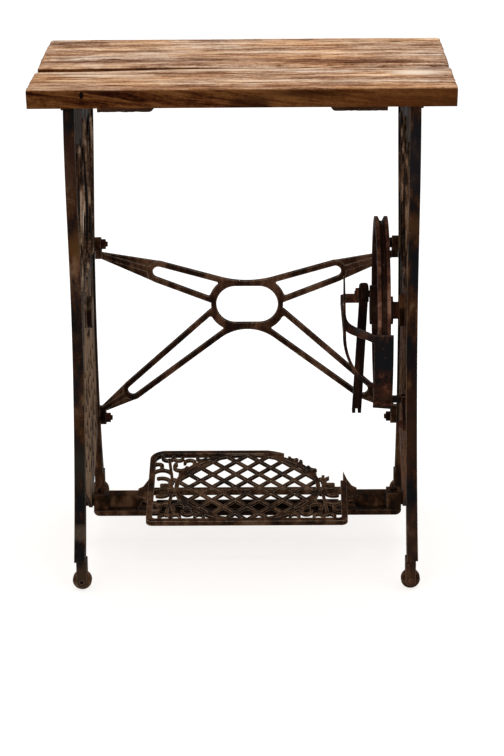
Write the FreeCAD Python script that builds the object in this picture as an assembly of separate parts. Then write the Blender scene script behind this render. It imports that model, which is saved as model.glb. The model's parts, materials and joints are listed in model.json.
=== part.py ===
import FreeCAD, Part
import math
import os
from FreeCAD import Vector

# Work table made from a cast-iron treadle stand with a top of two old boards.
# Millimetres. +Z is up, +X runs to the right seen from the front, +Y to the back.
# The origin is on the floor, midway between the four casters.

# Table top
TABLE_WIDTH = 600.0
TABLE_DEPTH = 410.0
TABLE_HEIGHT = 745.0
BACK_BOARD_THICKNESS = 30.0
BOARD_STEP = 3.0
FRONT_BOARD_DEPTH = 164.0
BOARD_GAP = 2.0
FRONT_BOARD_OVERHANG = 2.0
BOARD_EDGE_RADIUS = 3.0
BATTEN_WIDTH = 84.0
BATTEN_LENGTH = 300.0
BATTEN_THICKNESS = 16.0
BATTEN_CENTRE_X = 164.0
BATTEN_BEVEL = 8.0

# Side frames
FRAME_SPACING = 487.0
RAIL_WIDTH = 16.0
WEB_THICKNESS = 5.0
WEB_INSET = 2.5
TOP_FLANGE_LIP = 3.0
TOP_FLANGE_THICKNESS = 6.0
FOOT_TOP = 45.0
FOOT_DEPTH = 28.0
FOOT_CLEARANCE = 6.0
FOOT_WIDTH = 15.0
CASTER_SPACING_Y = 408.0
# Rail stations from the foot block to the top flange: height, outer face, depth front to back
RAIL_STATIONS = [
    (140.0, 176.0, 18.0),
    (240.0, 152.0, 13.0),
    (350.0, 141.0, 11.0),
    (460.0, 151.0, 11.0),
    (600.0, 181.0, 10.0),
]
RAIL_TOP_OUTER = 185.0
RAIL_TOP_DEPTH = 10.0
WEB_LOBE_BOTTOM = 55.0
WEB_LOBE_HALF_WIDTH = 24.0
WEB_SHOULDER = (90.0, 104.0)
LANCET_TOP = (117.0, 598.0, 42.0)
LANCET_TIP = (114.0, 442.0, 9.0)
SPEAR_BODY = (0.0, 506.0, 76.0)
SPEAR_TIP = (0.0, 648.0, 8.0)
EYELET = (52.0, 632.0, 13.0)
WAIST_EYE_LOW = (94.0, 342.0, 17.0)
WAIST_EYE_HIGH = (97.0, 396.0, 12.0)
ROSETTE_INNER = 31.0
ROSETTE_OUTER = 54.0
ROSETTE_BAR = 10.0
PANEL_PITCH_Y = 40.0
PANEL_PITCH_Z = 54.0
PANEL_BAR = 7.0
PANEL_TOP = 302.0
PANEL_MARGIN = 8.0

# Casters
CASTER_DIAMETER = 28.0
CASTER_WIDTH = 12.0
CASTER_EDGE = 2.0
CASTER_SIDE_GAP = 0.5
CASTER_CROWN_GAP = 2.5
CASTER_PIN_DIAMETER = 6.0

# Fits
RUNNING_CLEARANCE = 0.05
SEAT_CLEARANCE = 0.02
# How far a hole's cutter runs past the face it opens
OVERCUT = 1.0

# Wood screws
SCREW_DIAMETER = 5.0
SCREW_HEAD_DIAMETER = 8.0
SCREW_HEAD_HEIGHT = 2.5
SCREW_BITE = 18.0
SCREW_WEB_GAP = 0.3
FRAME_SCREW_Y = [-165.0, -60.0, 60.0, 165.0]
BATTEN_SCREW_Y = [-125.0, -70.0, 30.0, 125.0]

# Cross brace at the back
BRACE_FRONT_Y = 154.0
BRACE_THICKNESS = 8.0
BRACE_TAIL_THICKNESS = 5.0
BRACE_CENTRE_Z = 335.0
BRACE_BAR = 8.3
OVAL_HALF_WIDTH = 56.5
OVAL_HALF_HEIGHT = 38.0
UPPER_ARM_ROOT = (47.0, 357.6, 13.5)
UPPER_SLOT_END = (138.2, 387.9, 8.8)
UPPER_SADDLE_Z = 373.0
LOWER_ARM_ROOT = (45.0, 307.6, 15.0)
LOWER_SLOT_END = (182.1, 195.6, 7.5)
LOWER_SADDLE_Z = 295.0
SLOT_MARGIN = 4.0
SLOT_CORNER = 3.0
ARM_TAIL_RADIUS = 4.5
RIDGE_INSET = 1.0
EAR_RADIUS = 11.0
EAR_LENGTH = 10.0
UPPER_TAIL_OFFSET = 19.5
LOWER_TAIL_OFFSET = 16.0
UPPER_EAR = (146.0, 435.5)
LOWER_EAR = (163.0, 148.0)
BRACE_BOLT_DIAMETER = 8.0
BRACE_NUT_FLATS = 14.0
BRACE_NUT_HEIGHT = 7.0
BOLT_HEAD_HEIGHT = 5.0
BOLT_END_STICKOUT = 3.0

# Drive wheel, axle and crank
WHEEL_DIAMETER = 284.0
WHEEL_CENTRE_X = 203.5
WHEEL_AXIS_Z = 366.0
RIM_WIDTH = 19.0
RIM_DEPTH = 17.0
GROOVE_DEPTH = 7.0
GROOVE_MOUTH = 10.0
GROOVE_FLOOR = 3.0
HUB_DIAMETER = 42.0
HUB_LENGTH = 29.0
HUB_OFFSET = 3.5
SPOKE_COUNT = 6
SPOKE_WIDTH = 13.0
SPOKE_THICKNESS = 9.0
SPOKE_BOW = 16.0
CRANK_RADIUS = 26.0
CRANK_BOSS_RADIUS = 13.0
CRANK_BOSS_LENGTH = 12.0
CRANK_PIN_DIAMETER = 10.0
CRANK_NUT_FLATS = 16.0
CRANK_NUT_HEIGHT = 5.0
COUNTERWEIGHT_DEPTH = 22.0
COUNTERWEIGHT_ANGLE = 52.0
COUNTERWEIGHT_WIDTH = 17.0
AXLE_DIAMETER = 16.0
AXLE_COLLAR_DIAMETER = 26.0
AXLE_NUT_FLATS = 24.0
AXLE_NUT_HEIGHT = 8.0
AXLE_STICKOUT = 1.0
AXLE_BOSS_RADIUS = 24.0
AXLE_BOSS_STICKOUT = 5.0
AXLE_END_FLATS = 16.0
AXLE_END_HEIGHT = 6.0
AXLE_END_DIAMETER = 10.0
AXLE_RECESS_RADIUS = 12.0
AXLE_RECESS_DEPTH = 9.0
WASHER_THICKNESS = 2.0
WASHER_EDGE_GAP = 0.5
HUB_SIDE_GAP = 0.4
EYE_SIDE_GAP = 1.6

# Connecting rod, hanging from the crank pin
EYE_OUTER_RADIUS = 12.5
EYE_HEAD_RISE = 17.0
EYE_HEAD_RADIUS = 9.0
EYE_LENGTH = 14.5
BUSH_WALL = 2.0
ROD_LOWER_END_Z = 207.0
ROD_TOP_WIDTH = 13.0
ROD_TOP_DEPTH = 15.0
ROD_LOWER_WIDTH = 14.0
ROD_LOWER_DEPTH = 17.0
ROD_LEAN = 10.5
ROD_NOTCH_WIDTH = 3.5
ROD_NOTCH_HEIGHT = 7.0

# Dress guard in front of the wheel
GUARD_WHEEL_GAP = 10.0
GUARD_THICKNESS = 4.0
GUARD_PLATE_LEFT = 188.5
GUARD_PLATE_WIDTH = 28.0
GUARD_PLATE_TOP = 370.0
GUARD_PLATE_BOTTOM = 238.0
GUARD_PLATE_SLANT = 4.0
GUARD_STRIP_X = 145.0
GUARD_STRIP_WIDTH = 5.0
GUARD_STRIP_TOP = 452.0
GUARD_TIP_WIDTH = 2.6
GUARD_STRAP_HEIGHT = 12.0
GUARD_STRAP_RISE = 30.0
GUARD_SWEEP_Z = 292.0
GUARD_SWEEP_FOOT = 8.0
GUARD_LOOP_TOP = 376.0
GUARD_LOOP_HEIGHT = 14.0
GUARD_LOOP_BACK_Y = 62.0
GUARD_LOOP_THICKNESS = 3.0
GUARD_LOOP_BEND = 12.0
GUARD_LOOP_END_X = 178.0
GUARD_ARM_THICKNESS = 5.0
GUARD_ARM_HEIGHT = 14.0
GUARD_PAD_DROP = 30.0
GUARD_BOLT_DIAMETER = 6.0
GUARD_BOLT_FLATS = 10.0
GUARD_RIVET_DIAMETER = 5.0
GUARD_RIVET_HEAD = 9.0
GUARD_RIVET_HEIGHT = 2.0
GUARD_ARM_LIFT = 6.0
GUARD_NUT_HEIGHT = 5.0

# Treadle
PIVOT_Z = 67.0
PEDAL_WIDTH = 304.0
PEDAL_DEPTH = 202.0
PEDAL_TILT = 13.5
PEDAL_RISE = 21.0
PEDAL_RIM_WIDTH = 9.0
PEDAL_RIM_THICKNESS = 8.0
PEDAL_GRID_THICKNESS = 5.0
PEDAL_BACK_RADIUS = 24.0
PEDAL_FRONT_RADIUS = 10.0
PEDAL_PITCH_X = 36.0
PEDAL_PITCH_Y = 37.0
PEDAL_BAR = 4.4
PEDAL_OVAL_HALF_WIDTH = 112.0
PEDAL_OVAL_BAR = 6.5
PEDAL_BREAK_X = 27.0
PEDAL_BREAK_Y = 30.0
PEDAL_BREAK_RIM_X = 126.0
PEDAL_BREAK_RIM_Y = 12.0
PEDAL_STUB_LENGTH = 8.0
# Scrolls of one pedal corner, from the corner of the rim's middle line:
# inward along X, inward along Y, radius, start and end angle, whether the end carries a bud
SCROLLS = [
    (8.5, 36.5, 7.0, -30.0, 210.0, True),
    (23.5, 10.5, 9.0, 150.0, 390.0, False),
    (39.5, 12.5, 7.0, 150.0, 390.0, False),
    (15.5, 62.5, 15.0, 30.0, 180.0, False),
    (15.5, 84.5, 14.0, 60.0, 200.0, False),
    (21.5, 92.5, 10.0, 120.0, 300.0, True),
    (43.5, 38.5, 10.0, 180.0, 400.0, True),
    (57.5, 26.5, 8.0, -20.0, 200.0, True),
    (75.5, 12.5, 7.0, 170.0, 370.0, False),
    (39.5, 68.5, 9.0, 100.0, 300.0, True),
]
SCROLL_STEM = [(25.5, 18.0), (32.5, 83.5)]
SCROLL_BUD = 3.4
ARM_DEPTH = 24.0
ARM_BOTTOM = -11.0
ARM_TOP = 12.0
ARM_FLARE_LENGTH = 16.0
ARM_FLARE_DEPTH = 78.0
FLARE_STATIONS = [0.0, 0.3, 0.65, 1.0]
ARM_EDGE_RADIUS = 7.0
RIB_Y = -3.0
RIB_THICKNESS = 7.0
RIB_HEIGHT = 10.0
PIVOT_BOLT_DIAMETER = 10.0
PIVOT_BOLT_REACH = 24.0
PIVOT_END_GAP = 1.0
PIVOT_HEAD_FLATS = 16.0
PIVOT_HEAD_HEIGHT = 8.0
PIVOT_BOSS_RADIUS = 10.0
STRETCHER_DEPTH = 46.0
STRETCHER_BOTTOM_Z = 48.0
STRETCHER_FLOOR = 4.0
STRETCHER_LIP_HEIGHT = 8.0
STRETCHER_LIP_WIDTH = 4.0
STRETCHER_WEB_THICKNESS = 6.0
STRETCHER_WEB_HEIGHT = 13.0
STRETCHER_WEB_SETBACK = 12.0
EAR_WALL_DEPTH = 34.0
EAR_WALL_LENGTH = 22.0
EAR_WALL_RISE = 13.0
STRETCHER_CORNER = 9.0
ARM_SIDE_GAP = 0.4
SET_SCREW_DIAMETER = 7.0
SET_SCREW_HEAD = 10.0
SET_SCREW_HEIGHT = 4.0

# Places that follow from the sizes above
FRAME_X = FRAME_SPACING / 2
RAIL_INNER_X = FRAME_X - RAIL_WIDTH / 2
RAIL_OUTER_X = FRAME_X + RAIL_WIDTH / 2
WEB_X = FRAME_X - WEB_INSET
WEB_OUTER_X = WEB_X + WEB_THICKNESS / 2
RAIL_INNER_DEPTH = WEB_OUTER_X - RAIL_INNER_X
UNDERSIDE_Z = TABLE_HEIGHT - BACK_BOARD_THICKNESS
FRAME_TOP_Z = UNDERSIDE_Z
FOOT_Y = CASTER_SPACING_Y / 2
CASTER_RADIUS = CASTER_DIAMETER / 2
WHEEL_RADIUS = WHEEL_DIAMETER / 2
HUB_RIGHT_X = WHEEL_CENTRE_X + HUB_OFFSET + HUB_LENGTH / 2
HUB_LEFT_X = HUB_RIGHT_X - HUB_LENGTH
CRANK_FACE_X = HUB_LEFT_X - CRANK_BOSS_LENGTH / 2
CRANK_PIN_Z = WHEEL_AXIS_Z + CRANK_RADIUS
EYE_RIGHT_X = CRANK_FACE_X - EYE_SIDE_GAP
EYE_LEFT_X = EYE_RIGHT_X - EYE_LENGTH
GUARD_RADIUS = WHEEL_RADIUS + GUARD_WHEEL_GAP
EAR_WALL_X = RAIL_INNER_X - EAR_WALL_LENGTH
ARM_END_X = EAR_WALL_X - ARM_SIDE_GAP
FRAME_SCREW_X = WEB_OUTER_X + SCREW_WEB_GAP + SCREW_HEAD_DIAMETER / 2
RAIL_TABLE = (
    [(FOOT_TOP, FOOT_Y + FOOT_DEPTH / 2, FOOT_DEPTH)]
    + RAIL_STATIONS
    + [(FRAME_TOP_Z, RAIL_TOP_OUTER, RAIL_TOP_DEPTH)]
)

AXIS_X = Vector(1, 0, 0)
AXIS_Y = Vector(0, 1, 0)
AXIS_Z = Vector(0, 0, 1)


def box(x0, x1, y0, y1, z0, z1):
    return Part.makeBox(x1 - x0, y1 - y0, z1 - z0, Vector(x0, y0, z0))


def rod(start, axis, length, diameter):
    return Part.makeCylinder(diameter / 2, length, start, axis)


def fused(shapes):
    whole = shapes[0]
    if len(shapes) > 1:
        whole = whole.multiFuse(shapes[1:])
    return whole.removeSplitter()


def moved(shape, x=0.0, y=0.0, z=0.0):
    copy = shape.copy()
    copy.translate(Vector(x, y, z))
    return copy


def mirrored_x(shape):
    return shape.mirror(Vector(0, 0, 0), AXIS_X)


def mirrored_y(shape):
    return shape.mirror(Vector(0, 0, 0), AXIS_Y)


def on_plane(plane, u, v):
    if plane == "YZ":
        return Vector(0, u, v)
    if plane == "XZ":
        return Vector(u, 0, v)
    return Vector(u, v, 0)


def normal_of(plane):
    return {"YZ": AXIS_X, "XZ": AXIS_Y, "XY": AXIS_Z}[plane]


def slab(face, thickness, plane, middle=0.0):
    """Extrude a face to both sides of its plane, then move it along the normal."""
    normal = normal_of(plane)
    solid = face.extrude(normal * thickness)
    solid.translate(normal * (middle - thickness / 2))
    return solid


def polygon_face(plane, points):
    corners = [on_plane(plane, u, v) for u, v in points]
    return Part.Face(Part.makePolygon(corners + corners[:1]))


def drop_face(plane, big, small):
    """Outline round two circles (u, v, radius), joined by their common tangents."""
    u1, v1, r1 = big
    u2, v2, r2 = small
    span = math.hypot(u2 - u1, v2 - v1)
    heading = math.atan2(v2 - v1, u2 - u1)
    spread = math.acos((r1 - r2) / span)

    def rim(circle, angle):
        u, v, r = circle
        return on_plane(plane, u + r * math.cos(angle), v + r * math.sin(angle))

    left, right = heading + spread, heading - spread
    edges = [
        Part.LineSegment(rim(big, left), rim(small, left)).toShape(),
        Part.Arc(rim(small, left), rim(small, heading), rim(small, right)).toShape(),
        Part.LineSegment(rim(small, right), rim(big, right)).toShape(),
        Part.Arc(rim(big, right), rim(big, heading + math.pi), rim(big, left)).toShape(),
    ]
    return Part.Face(Part.Wire(edges))


def disc_face(plane, u, v, radius):
    edge = Part.Circle(on_plane(plane, u, v), normal_of(plane), radius).toShape()
    return Part.Face(Part.Wire([edge]))


def stadium_face(plane, u, v, half_width, half_height):
    reach = half_width - half_height
    return drop_face(plane, (u - reach, v, half_height), (u + reach, v, half_height))


def arc_bar(plane, u, v, radius, start, end, width):
    """Flat bar of constant width along an arc, angles in degrees."""
    def point(r, degrees):
        a = math.radians(degrees)
        return on_plane(plane, u + r * math.cos(a), v + r * math.sin(a))

    middle = (start + end) / 2
    outer, inner = radius + width / 2, radius - width / 2
    edges = [
        Part.Arc(point(outer, start), point(outer, middle), point(outer, end)).toShape(),
        Part.LineSegment(point(outer, end), point(inner, end)).toShape(),
        Part.Arc(point(inner, end), point(inner, middle), point(inner, start)).toShape(),
        Part.LineSegment(point(inner, start), point(outer, start)).toShape(),
    ]
    return Part.Face(Part.Wire(edges))


def hex_nut(x_low, height, y, z, flats):
    """Hexagonal prism along X."""
    reach = flats / math.sqrt(3)
    points = []
    for corner in range(6):
        angle = math.radians(60 * corner + 30)
        points.append((y + reach * math.cos(angle), z + reach * math.sin(angle)))
    solid = polygon_face("YZ", points).extrude(AXIS_X * height)
    return moved(solid, x=x_low)


def rail_inner(z):
    """Inner face of the rail at a height, between its stations."""
    for (z0, y0, d0), (z1, y1, d1) in zip(RAIL_TABLE, RAIL_TABLE[1:]):
        if z0 <= z <= z1:
            share = (z - z0) / (z1 - z0)
            return (y0 - d0) + share * ((y1 - d1) - (y0 - d0))
    return RAIL_TABLE[-1][1] - RAIL_TABLE[-1][2]


def spline(points):
    curve = Part.BSplineCurve()
    curve.interpolate([on_plane("YZ", u, v) for u, v in points])
    return curve.toShape()


def back_rail():
    outer = [(y, z) for z, y, depth in RAIL_TABLE]
    inner = [(y - depth, z) for z, y, depth in RAIL_TABLE]
    ends = [on_plane("YZ", *p) for p in (outer[-1], inner[-1], inner[0], outer[0])]
    edges = [
        spline(outer),
        Part.LineSegment(ends[0], ends[1]).toShape(),
        spline(inner),
        Part.LineSegment(ends[2], ends[3]).toShape(),
    ]
    face = Part.Face(Part.Wire(Part.__sortEdges__(edges)))
    return slab(face, RAIL_WIDTH, "YZ")


def foot_block():
    """Fork at the end of a leg, open below for the caster."""
    half = FOOT_DEPTH / 2
    block = box(-FOOT_WIDTH / 2, FOOT_WIDTH / 2, FOOT_Y - half, FOOT_Y + half, FOOT_CLEARANCE, FOOT_TOP)
    slot_half = CASTER_WIDTH / 2 + CASTER_SIDE_GAP
    slot_top = CASTER_DIAMETER + CASTER_CROWN_GAP
    slot = box(-FOOT_WIDTH, FOOT_WIDTH, FOOT_Y - slot_half, FOOT_Y + slot_half, 0, slot_top)
    hole_start = Vector(0, FOOT_Y - FOOT_DEPTH, CASTER_RADIUS)
    hole = rod(hole_start, AXIS_Y, 2 * FOOT_DEPTH, CASTER_PIN_DIAMETER + 2 * SEAT_CLEARANCE)
    toe = disc_face("XZ", 0, CASTER_RADIUS, FOOT_WIDTH / 2)
    toe_round = slab(toe, FOOT_DEPTH, "XZ", FOOT_Y)
    upper = box(-FOOT_WIDTH / 2, FOOT_WIDTH / 2, FOOT_Y - half, FOOT_Y + half, CASTER_RADIUS, FOOT_TOP)
    return block.common(toe_round.fuse(upper)).cut(slot).cut(hole)


def web_face():
    side = [(y - depth / 2, z) for z, y, depth in RAIL_TABLE[1:]]
    shoulder_y, shoulder_z = WEB_SHOULDER
    low = [side[0], (shoulder_y, shoulder_z), (WEB_LOBE_HALF_WIDTH, PIVOT_Z), (0, WEB_LOBE_BOTTOM)]
    left_low = [(-y, z) for y, z in reversed(low[:-1])]
    edges = [
        spline(side),
        spline(low + left_low),
        spline([(-y, z) for y, z in side]),
        Part.LineSegment(on_plane("YZ", *side[-1]), on_plane("YZ", -side[-1][0], side[-1][1])).toShape(),
    ]
    return Part.Face(Part.Wire(Part.__sortEdges__(edges)))


def web_floor(y):
    """Lower edge of the web at a place, taken straight between its points."""
    z_side, y_side, depth_side = RAIL_TABLE[1]
    knots = [(0, WEB_LOBE_BOTTOM), (WEB_LOBE_HALF_WIDTH, PIVOT_Z), WEB_SHOULDER, (y_side, z_side)]
    for (y0, z0), (y1, z1) in zip(knots, knots[1:]):
        if y0 <= abs(y) <= y1:
            return z0 + (abs(y) - y0) / (y1 - y0) * (z1 - z0)
    return z_side


def panel_diamonds():
    """Diamond openings of the lower panel that lie clear of its border."""
    half_y = (PANEL_PITCH_Y - PANEL_BAR * math.sqrt(2)) / 2
    half_z = half_y * PANEL_PITCH_Z / PANEL_PITCH_Y
    faces = []
    rows = int(PANEL_TOP / (PANEL_PITCH_Z / 2))
    columns = int(RAIL_TOP_OUTER / PANEL_PITCH_Y) + 1
    for row in range(rows):
        z = PANEL_TOP - half_z - row * PANEL_PITCH_Z / 2
        shift = (row % 2) * PANEL_PITCH_Y / 2
        for column in range(-columns, columns + 1):
            y = column * PANEL_PITCH_Y + shift
            in_rails = abs(y) + half_y + PANEL_MARGIN < rail_inner(z)
            above_edge = z - half_z - PANEL_MARGIN > web_floor(y)
            off_boss = math.hypot(y, z - PIVOT_Z) > PIVOT_BOSS_RADIUS + half_z + PANEL_MARGIN
            if in_rails and above_edge and off_boss:
                corners = [(y - half_y, z), (y, z - half_z), (y + half_y, z), (y, z + half_z)]
                faces.append(polygon_face("YZ", corners))
    return faces


def rosette_openings():
    """Four quarter-ring openings round the axle boss."""
    outer = disc_face("YZ", 0, WHEEL_AXIS_Z, ROSETTE_OUTER)
    inner = disc_face("YZ", 0, WHEEL_AXIS_Z, ROSETTE_INNER)
    ring = slab(outer.cut(inner), 2 * WEB_THICKNESS, "YZ")
    reach = 2 * ROSETTE_OUTER
    for angle in (45, 135):
        bar = box(-RAIL_WIDTH, RAIL_WIDTH, -ROSETTE_BAR / 2, ROSETTE_BAR / 2, -reach, reach)
        bar.rotate(Vector(0, 0, 0), AXIS_X, angle)
        ring = ring.cut(moved(bar, z=WHEEL_AXIS_Z))
    return ring


def web_openings():
    def both_sides(circle):
        u, v, r = circle
        return [(u, v, r), (-u, v, r)]

    faces = panel_diamonds()
    faces.append(drop_face("YZ", SPEAR_BODY, SPEAR_TIP))
    for top, tip in zip(both_sides(LANCET_TOP), both_sides(LANCET_TIP)):
        faces.append(drop_face("YZ", top, tip))
    for low, high in zip(both_sides(WAIST_EYE_LOW), both_sides(WAIST_EYE_HIGH)):
        faces.append(drop_face("YZ", low, high))
    for u, v, r in both_sides(EYELET):
        faces.append(disc_face("YZ", u, v, r))
    cutters = [slab(face, 2 * WEB_THICKNESS, "YZ") for face in faces]
    return cutters + [rosette_openings()]


def inner_boss(face, inner_side, stickout):
    """Boss of a frame from its web's outer face inward, past the rails by the stickout."""
    length = RAIL_INNER_DEPTH + stickout
    return slab(face, length, "YZ", inner_side * (RAIL_WIDTH / 2 + stickout - length / 2))


def side_frame(inner_side, has_axle):
    """One cast side frame, its rails about X = 0; inner_side is +1 where the inside faces +X."""
    inset = inner_side * WEB_INSET
    web = slab(web_face(), WEB_THICKNESS, "YZ").cut(Part.makeCompound(web_openings()))
    rail = back_rail()
    foot = moved(foot_block(), x=inset)
    flange_sides = sorted([inner_side * RAIL_WIDTH / 2, -inner_side * (RAIL_WIDTH / 2 + TOP_FLANGE_LIP)])
    flange = box(
        flange_sides[0], flange_sides[1], -RAIL_TOP_OUTER, RAIL_TOP_OUTER,
        FRAME_TOP_Z - TOP_FLANGE_THICKNESS, FRAME_TOP_Z,
    )
    pieces = [moved(web, x=inset), rail, mirrored_y(rail), foot, mirrored_y(foot), flange]
    for y, z in (UPPER_EAR, LOWER_EAR):
        pieces.append(slab(disc_face("YZ", y, z, EAR_RADIUS), RAIL_WIDTH, "YZ"))
    pieces.append(slab(disc_face("YZ", 0, PIVOT_Z, PIVOT_BOSS_RADIUS), RAIL_WIDTH, "YZ"))
    axle_boss = disc_face("YZ", 0, WHEEL_AXIS_Z, AXLE_BOSS_RADIUS)
    pieces.append(inner_boss(axle_boss, inner_side, AXLE_BOSS_STICKOUT))
    frame = fused(pieces)
    holes = []
    for y in FRAME_SCREW_Y:
        screw_x = inner_side * (FRAME_X - FRAME_SCREW_X)
        holes.append(screw_hole(screw_x, y, FRAME_TOP_Z - 2 * TOP_FLANGE_THICKNESS))
    through = 2 * RAIL_WIDTH
    for y, z in (UPPER_EAR, LOWER_EAR):
        bolt_start = Vector(-RAIL_WIDTH, y, z)
        holes.append(rod(bolt_start, AXIS_X, through, BRACE_BOLT_DIAMETER + 2 * SEAT_CLEARANCE))
    pivot_start = Vector(-RAIL_WIDTH, 0, PIVOT_Z)
    holes.append(rod(pivot_start, AXIS_X, through, PIVOT_BOLT_DIAMETER + 2 * SEAT_CLEARANCE))
    if has_axle:
        axle_start = Vector(-RAIL_WIDTH, 0, WHEEL_AXIS_Z)
        holes.append(rod(axle_start, AXIS_X, through, AXLE_DIAMETER + 2 * SEAT_CLEARANCE))
        pad_y, pad_z = guard_bolt_place()
        guard_start = Vector(-RAIL_WIDTH, pad_y, pad_z)
        boss = inner_boss(disc_face("YZ", pad_y, pad_z, GUARD_BOLT_FLATS), inner_side, 0)
        frame = fused([frame, boss])
        holes.append(rod(guard_start, AXIS_X, through, GUARD_BOLT_DIAMETER + 2 * SEAT_CLEARANCE))
    return frame.cut(Part.makeCompound(holes))


def screw_hole(x, y, low_z):
    """Hole from below for a screw, from low_z up through a piece's seat under the top."""
    return rod(Vector(x, y, low_z), AXIS_Z, TABLE_HEIGHT - low_z, SCREW_DIAMETER + 2 * SEAT_CLEARANCE)


def wood_screw(x, y, seat_z, through):
    """Screw driven up from seat_z through a piece into a board."""
    shank = rod(Vector(x, y, seat_z), AXIS_Z, through + SCREW_BITE, SCREW_DIAMETER)
    head = rod(Vector(x, y, seat_z - SCREW_HEAD_HEIGHT), AXIS_Z, SCREW_HEAD_HEIGHT, SCREW_HEAD_DIAMETER)
    return shank.fuse(head)


def frame_screw_places():
    return [(side * FRAME_SCREW_X, y) for side in (-1, 1) for y in FRAME_SCREW_Y]


def batten_screw_places():
    return [(side * BATTEN_CENTRE_X, y) for side in (-1, 1) for y in BATTEN_SCREW_Y]


def board(x_half, y0, y1, thickness):
    plank = box(-x_half, x_half, y0, y1, UNDERSIDE_Z, UNDERSIDE_Z + thickness)
    upper = [e for e in plank.Edges if e.BoundBox.ZMin > UNDERSIDE_Z + thickness / 2]
    plank = plank.makeFillet(BOARD_EDGE_RADIUS, upper)
    bite_top = UNDERSIDE_Z + SCREW_BITE + SEAT_CLEARANCE
    holes = []
    for x, y in frame_screw_places() + batten_screw_places():
        if y0 < y < y1:
            length = bite_top - UNDERSIDE_Z
            holes.append(rod(Vector(x, y, UNDERSIDE_Z), AXIS_Z, length, SCREW_DIAMETER + 2 * SEAT_CLEARANCE))
    return plank.cut(Part.makeCompound(holes))


def batten(side):
    low = UNDERSIDE_Z - BATTEN_THICKNESS
    half = BATTEN_WIDTH / 2
    inner = -side
    outline = [
        (side * BATTEN_CENTRE_X - half, UNDERSIDE_Z),
        (side * BATTEN_CENTRE_X + half, UNDERSIDE_Z),
        (side * BATTEN_CENTRE_X + half - BATTEN_BEVEL * (inner > 0), low),
        (side * BATTEN_CENTRE_X - half + BATTEN_BEVEL * (inner < 0), low),
    ]
    plank = slab(polygon_face("XZ", outline), BATTEN_LENGTH, "XZ")
    holes = [screw_hole(side * BATTEN_CENTRE_X, y, low - BATTEN_THICKNESS) for y in BATTEN_SCREW_Y]
    return plank.cut(Part.makeCompound(holes))


def with_bar(circle):
    """A slot's end circle (u, v, radius) grown by the bar that runs round the slot."""
    u, v, r = circle
    return (u, v, r + BRACE_BAR)


def brace_arm(root, end, ear, tail_offset):
    """Arm of the brace on the right-hand side, with its tail, lug and ear, before its slot is cut."""
    u_end, v_end, r_end = end
    middle = BRACE_FRONT_Y + BRACE_THICKNESS / 2
    arm = slab(drop_face("XZ", with_bar(root), with_bar(end)), BRACE_THICKNESS, "XZ", middle)
    ear_y, ear_z = ear
    ear_x = RAIL_INNER_X - EAR_LENGTH / 2
    tail_z = ear_z + math.copysign(tail_offset, v_end - ear_z)
    tail_face = drop_face("XZ", with_bar(end), (ear_x, tail_z, ARM_TAIL_RADIUS))
    tail = slab(tail_face, BRACE_TAIL_THICKNESS, "XZ", middle)
    ridge_end = (ear_x, tail_z, ARM_TAIL_RADIUS - RIDGE_INSET)
    ridge_face = drop_face("XZ", (u_end, v_end, ARM_TAIL_RADIUS), ridge_end)
    ridge = slab(ridge_face, BRACE_THICKNESS, "XZ", middle)
    lug = slab(disc_face("YZ", ear_y, ear_z, EAR_RADIUS), EAR_LENGTH, "YZ", ear_x)
    back_y = BRACE_FRONT_Y + BRACE_THICKNESS
    web = box(
        ear_x - EAR_LENGTH / 2, ear_x + EAR_LENGTH / 2, min(ear_y, BRACE_FRONT_Y), max(ear_y, back_y),
        min(ear_z, tail_z - ARM_TAIL_RADIUS), max(ear_z, tail_z + ARM_TAIL_RADIUS),
    )
    return [arm, tail, ridge, lug, web]


def brace_slot(root, end):
    """Slot of one arm, stopped short of the oval, with rounded corners there."""
    middle = BRACE_FRONT_Y + BRACE_THICKNESS / 2
    width, height = OVAL_HALF_WIDTH + SLOT_MARGIN, OVAL_HALF_HEIGHT + SLOT_MARGIN
    margin = slab(stadium_face("XZ", 0, BRACE_CENTRE_Z, width, height), 4 * BRACE_THICKNESS, "XZ", middle)
    slot = slab(drop_face("XZ", root, end), 2 * BRACE_THICKNESS, "XZ", middle).cut(margin)
    corners = []
    for edge in slot.Edges:
        place = edge.CenterOfMass
        off_margin = math.hypot(place.x - (width - height), place.z - BRACE_CENTRE_Z) - height
        runs_through = abs(edge.tangentAt(edge.FirstParameter).y) > 0.5
        if runs_through and abs(off_margin) < SEAT_CLEARANCE:
            corners.append(edge)
    return slot.makeFillet(SLOT_CORNER, corners)


def saddle(root, end, side, level):
    """Filling between two mirrored arms, its edge an arc tangent to both that passes level at X = 0."""
    u1, v1, r1 = with_bar(root)
    u2, v2, r2 = with_bar(end)
    lean = math.asin((r1 - r2) / math.hypot(u2 - u1, v2 - v1))
    angle = math.atan2(v2 - v1, u2 - u1) - side * lean
    touch_u = u1 - side * r1 * math.sin(angle)
    touch_v = v1 + side * r1 * math.cos(angle)
    apex = touch_v - touch_u * math.tan(angle)
    radius = side * (level - apex) / (1 / math.cos(angle) - 1)
    reach = radius * abs(math.sin(angle))
    end_z = level + side * radius * (1 - math.cos(angle))
    arc_points = [on_plane("XZ", *place) for place in ((-reach, end_z), (0, level), (reach, end_z))]
    base = [on_plane("XZ", reach, BRACE_CENTRE_Z), on_plane("XZ", -reach, BRACE_CENTRE_Z)]
    edges = [
        Part.Arc(*arc_points).toShape(),
        Part.LineSegment(arc_points[-1], base[0]).toShape(),
        Part.LineSegment(base[0], base[1]).toShape(),
        Part.LineSegment(base[1], arc_points[0]).toShape(),
    ]
    face = Part.Face(Part.Wire(edges))
    return slab(face, BRACE_THICKNESS, "XZ", BRACE_FRONT_Y + BRACE_THICKNESS / 2)


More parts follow.
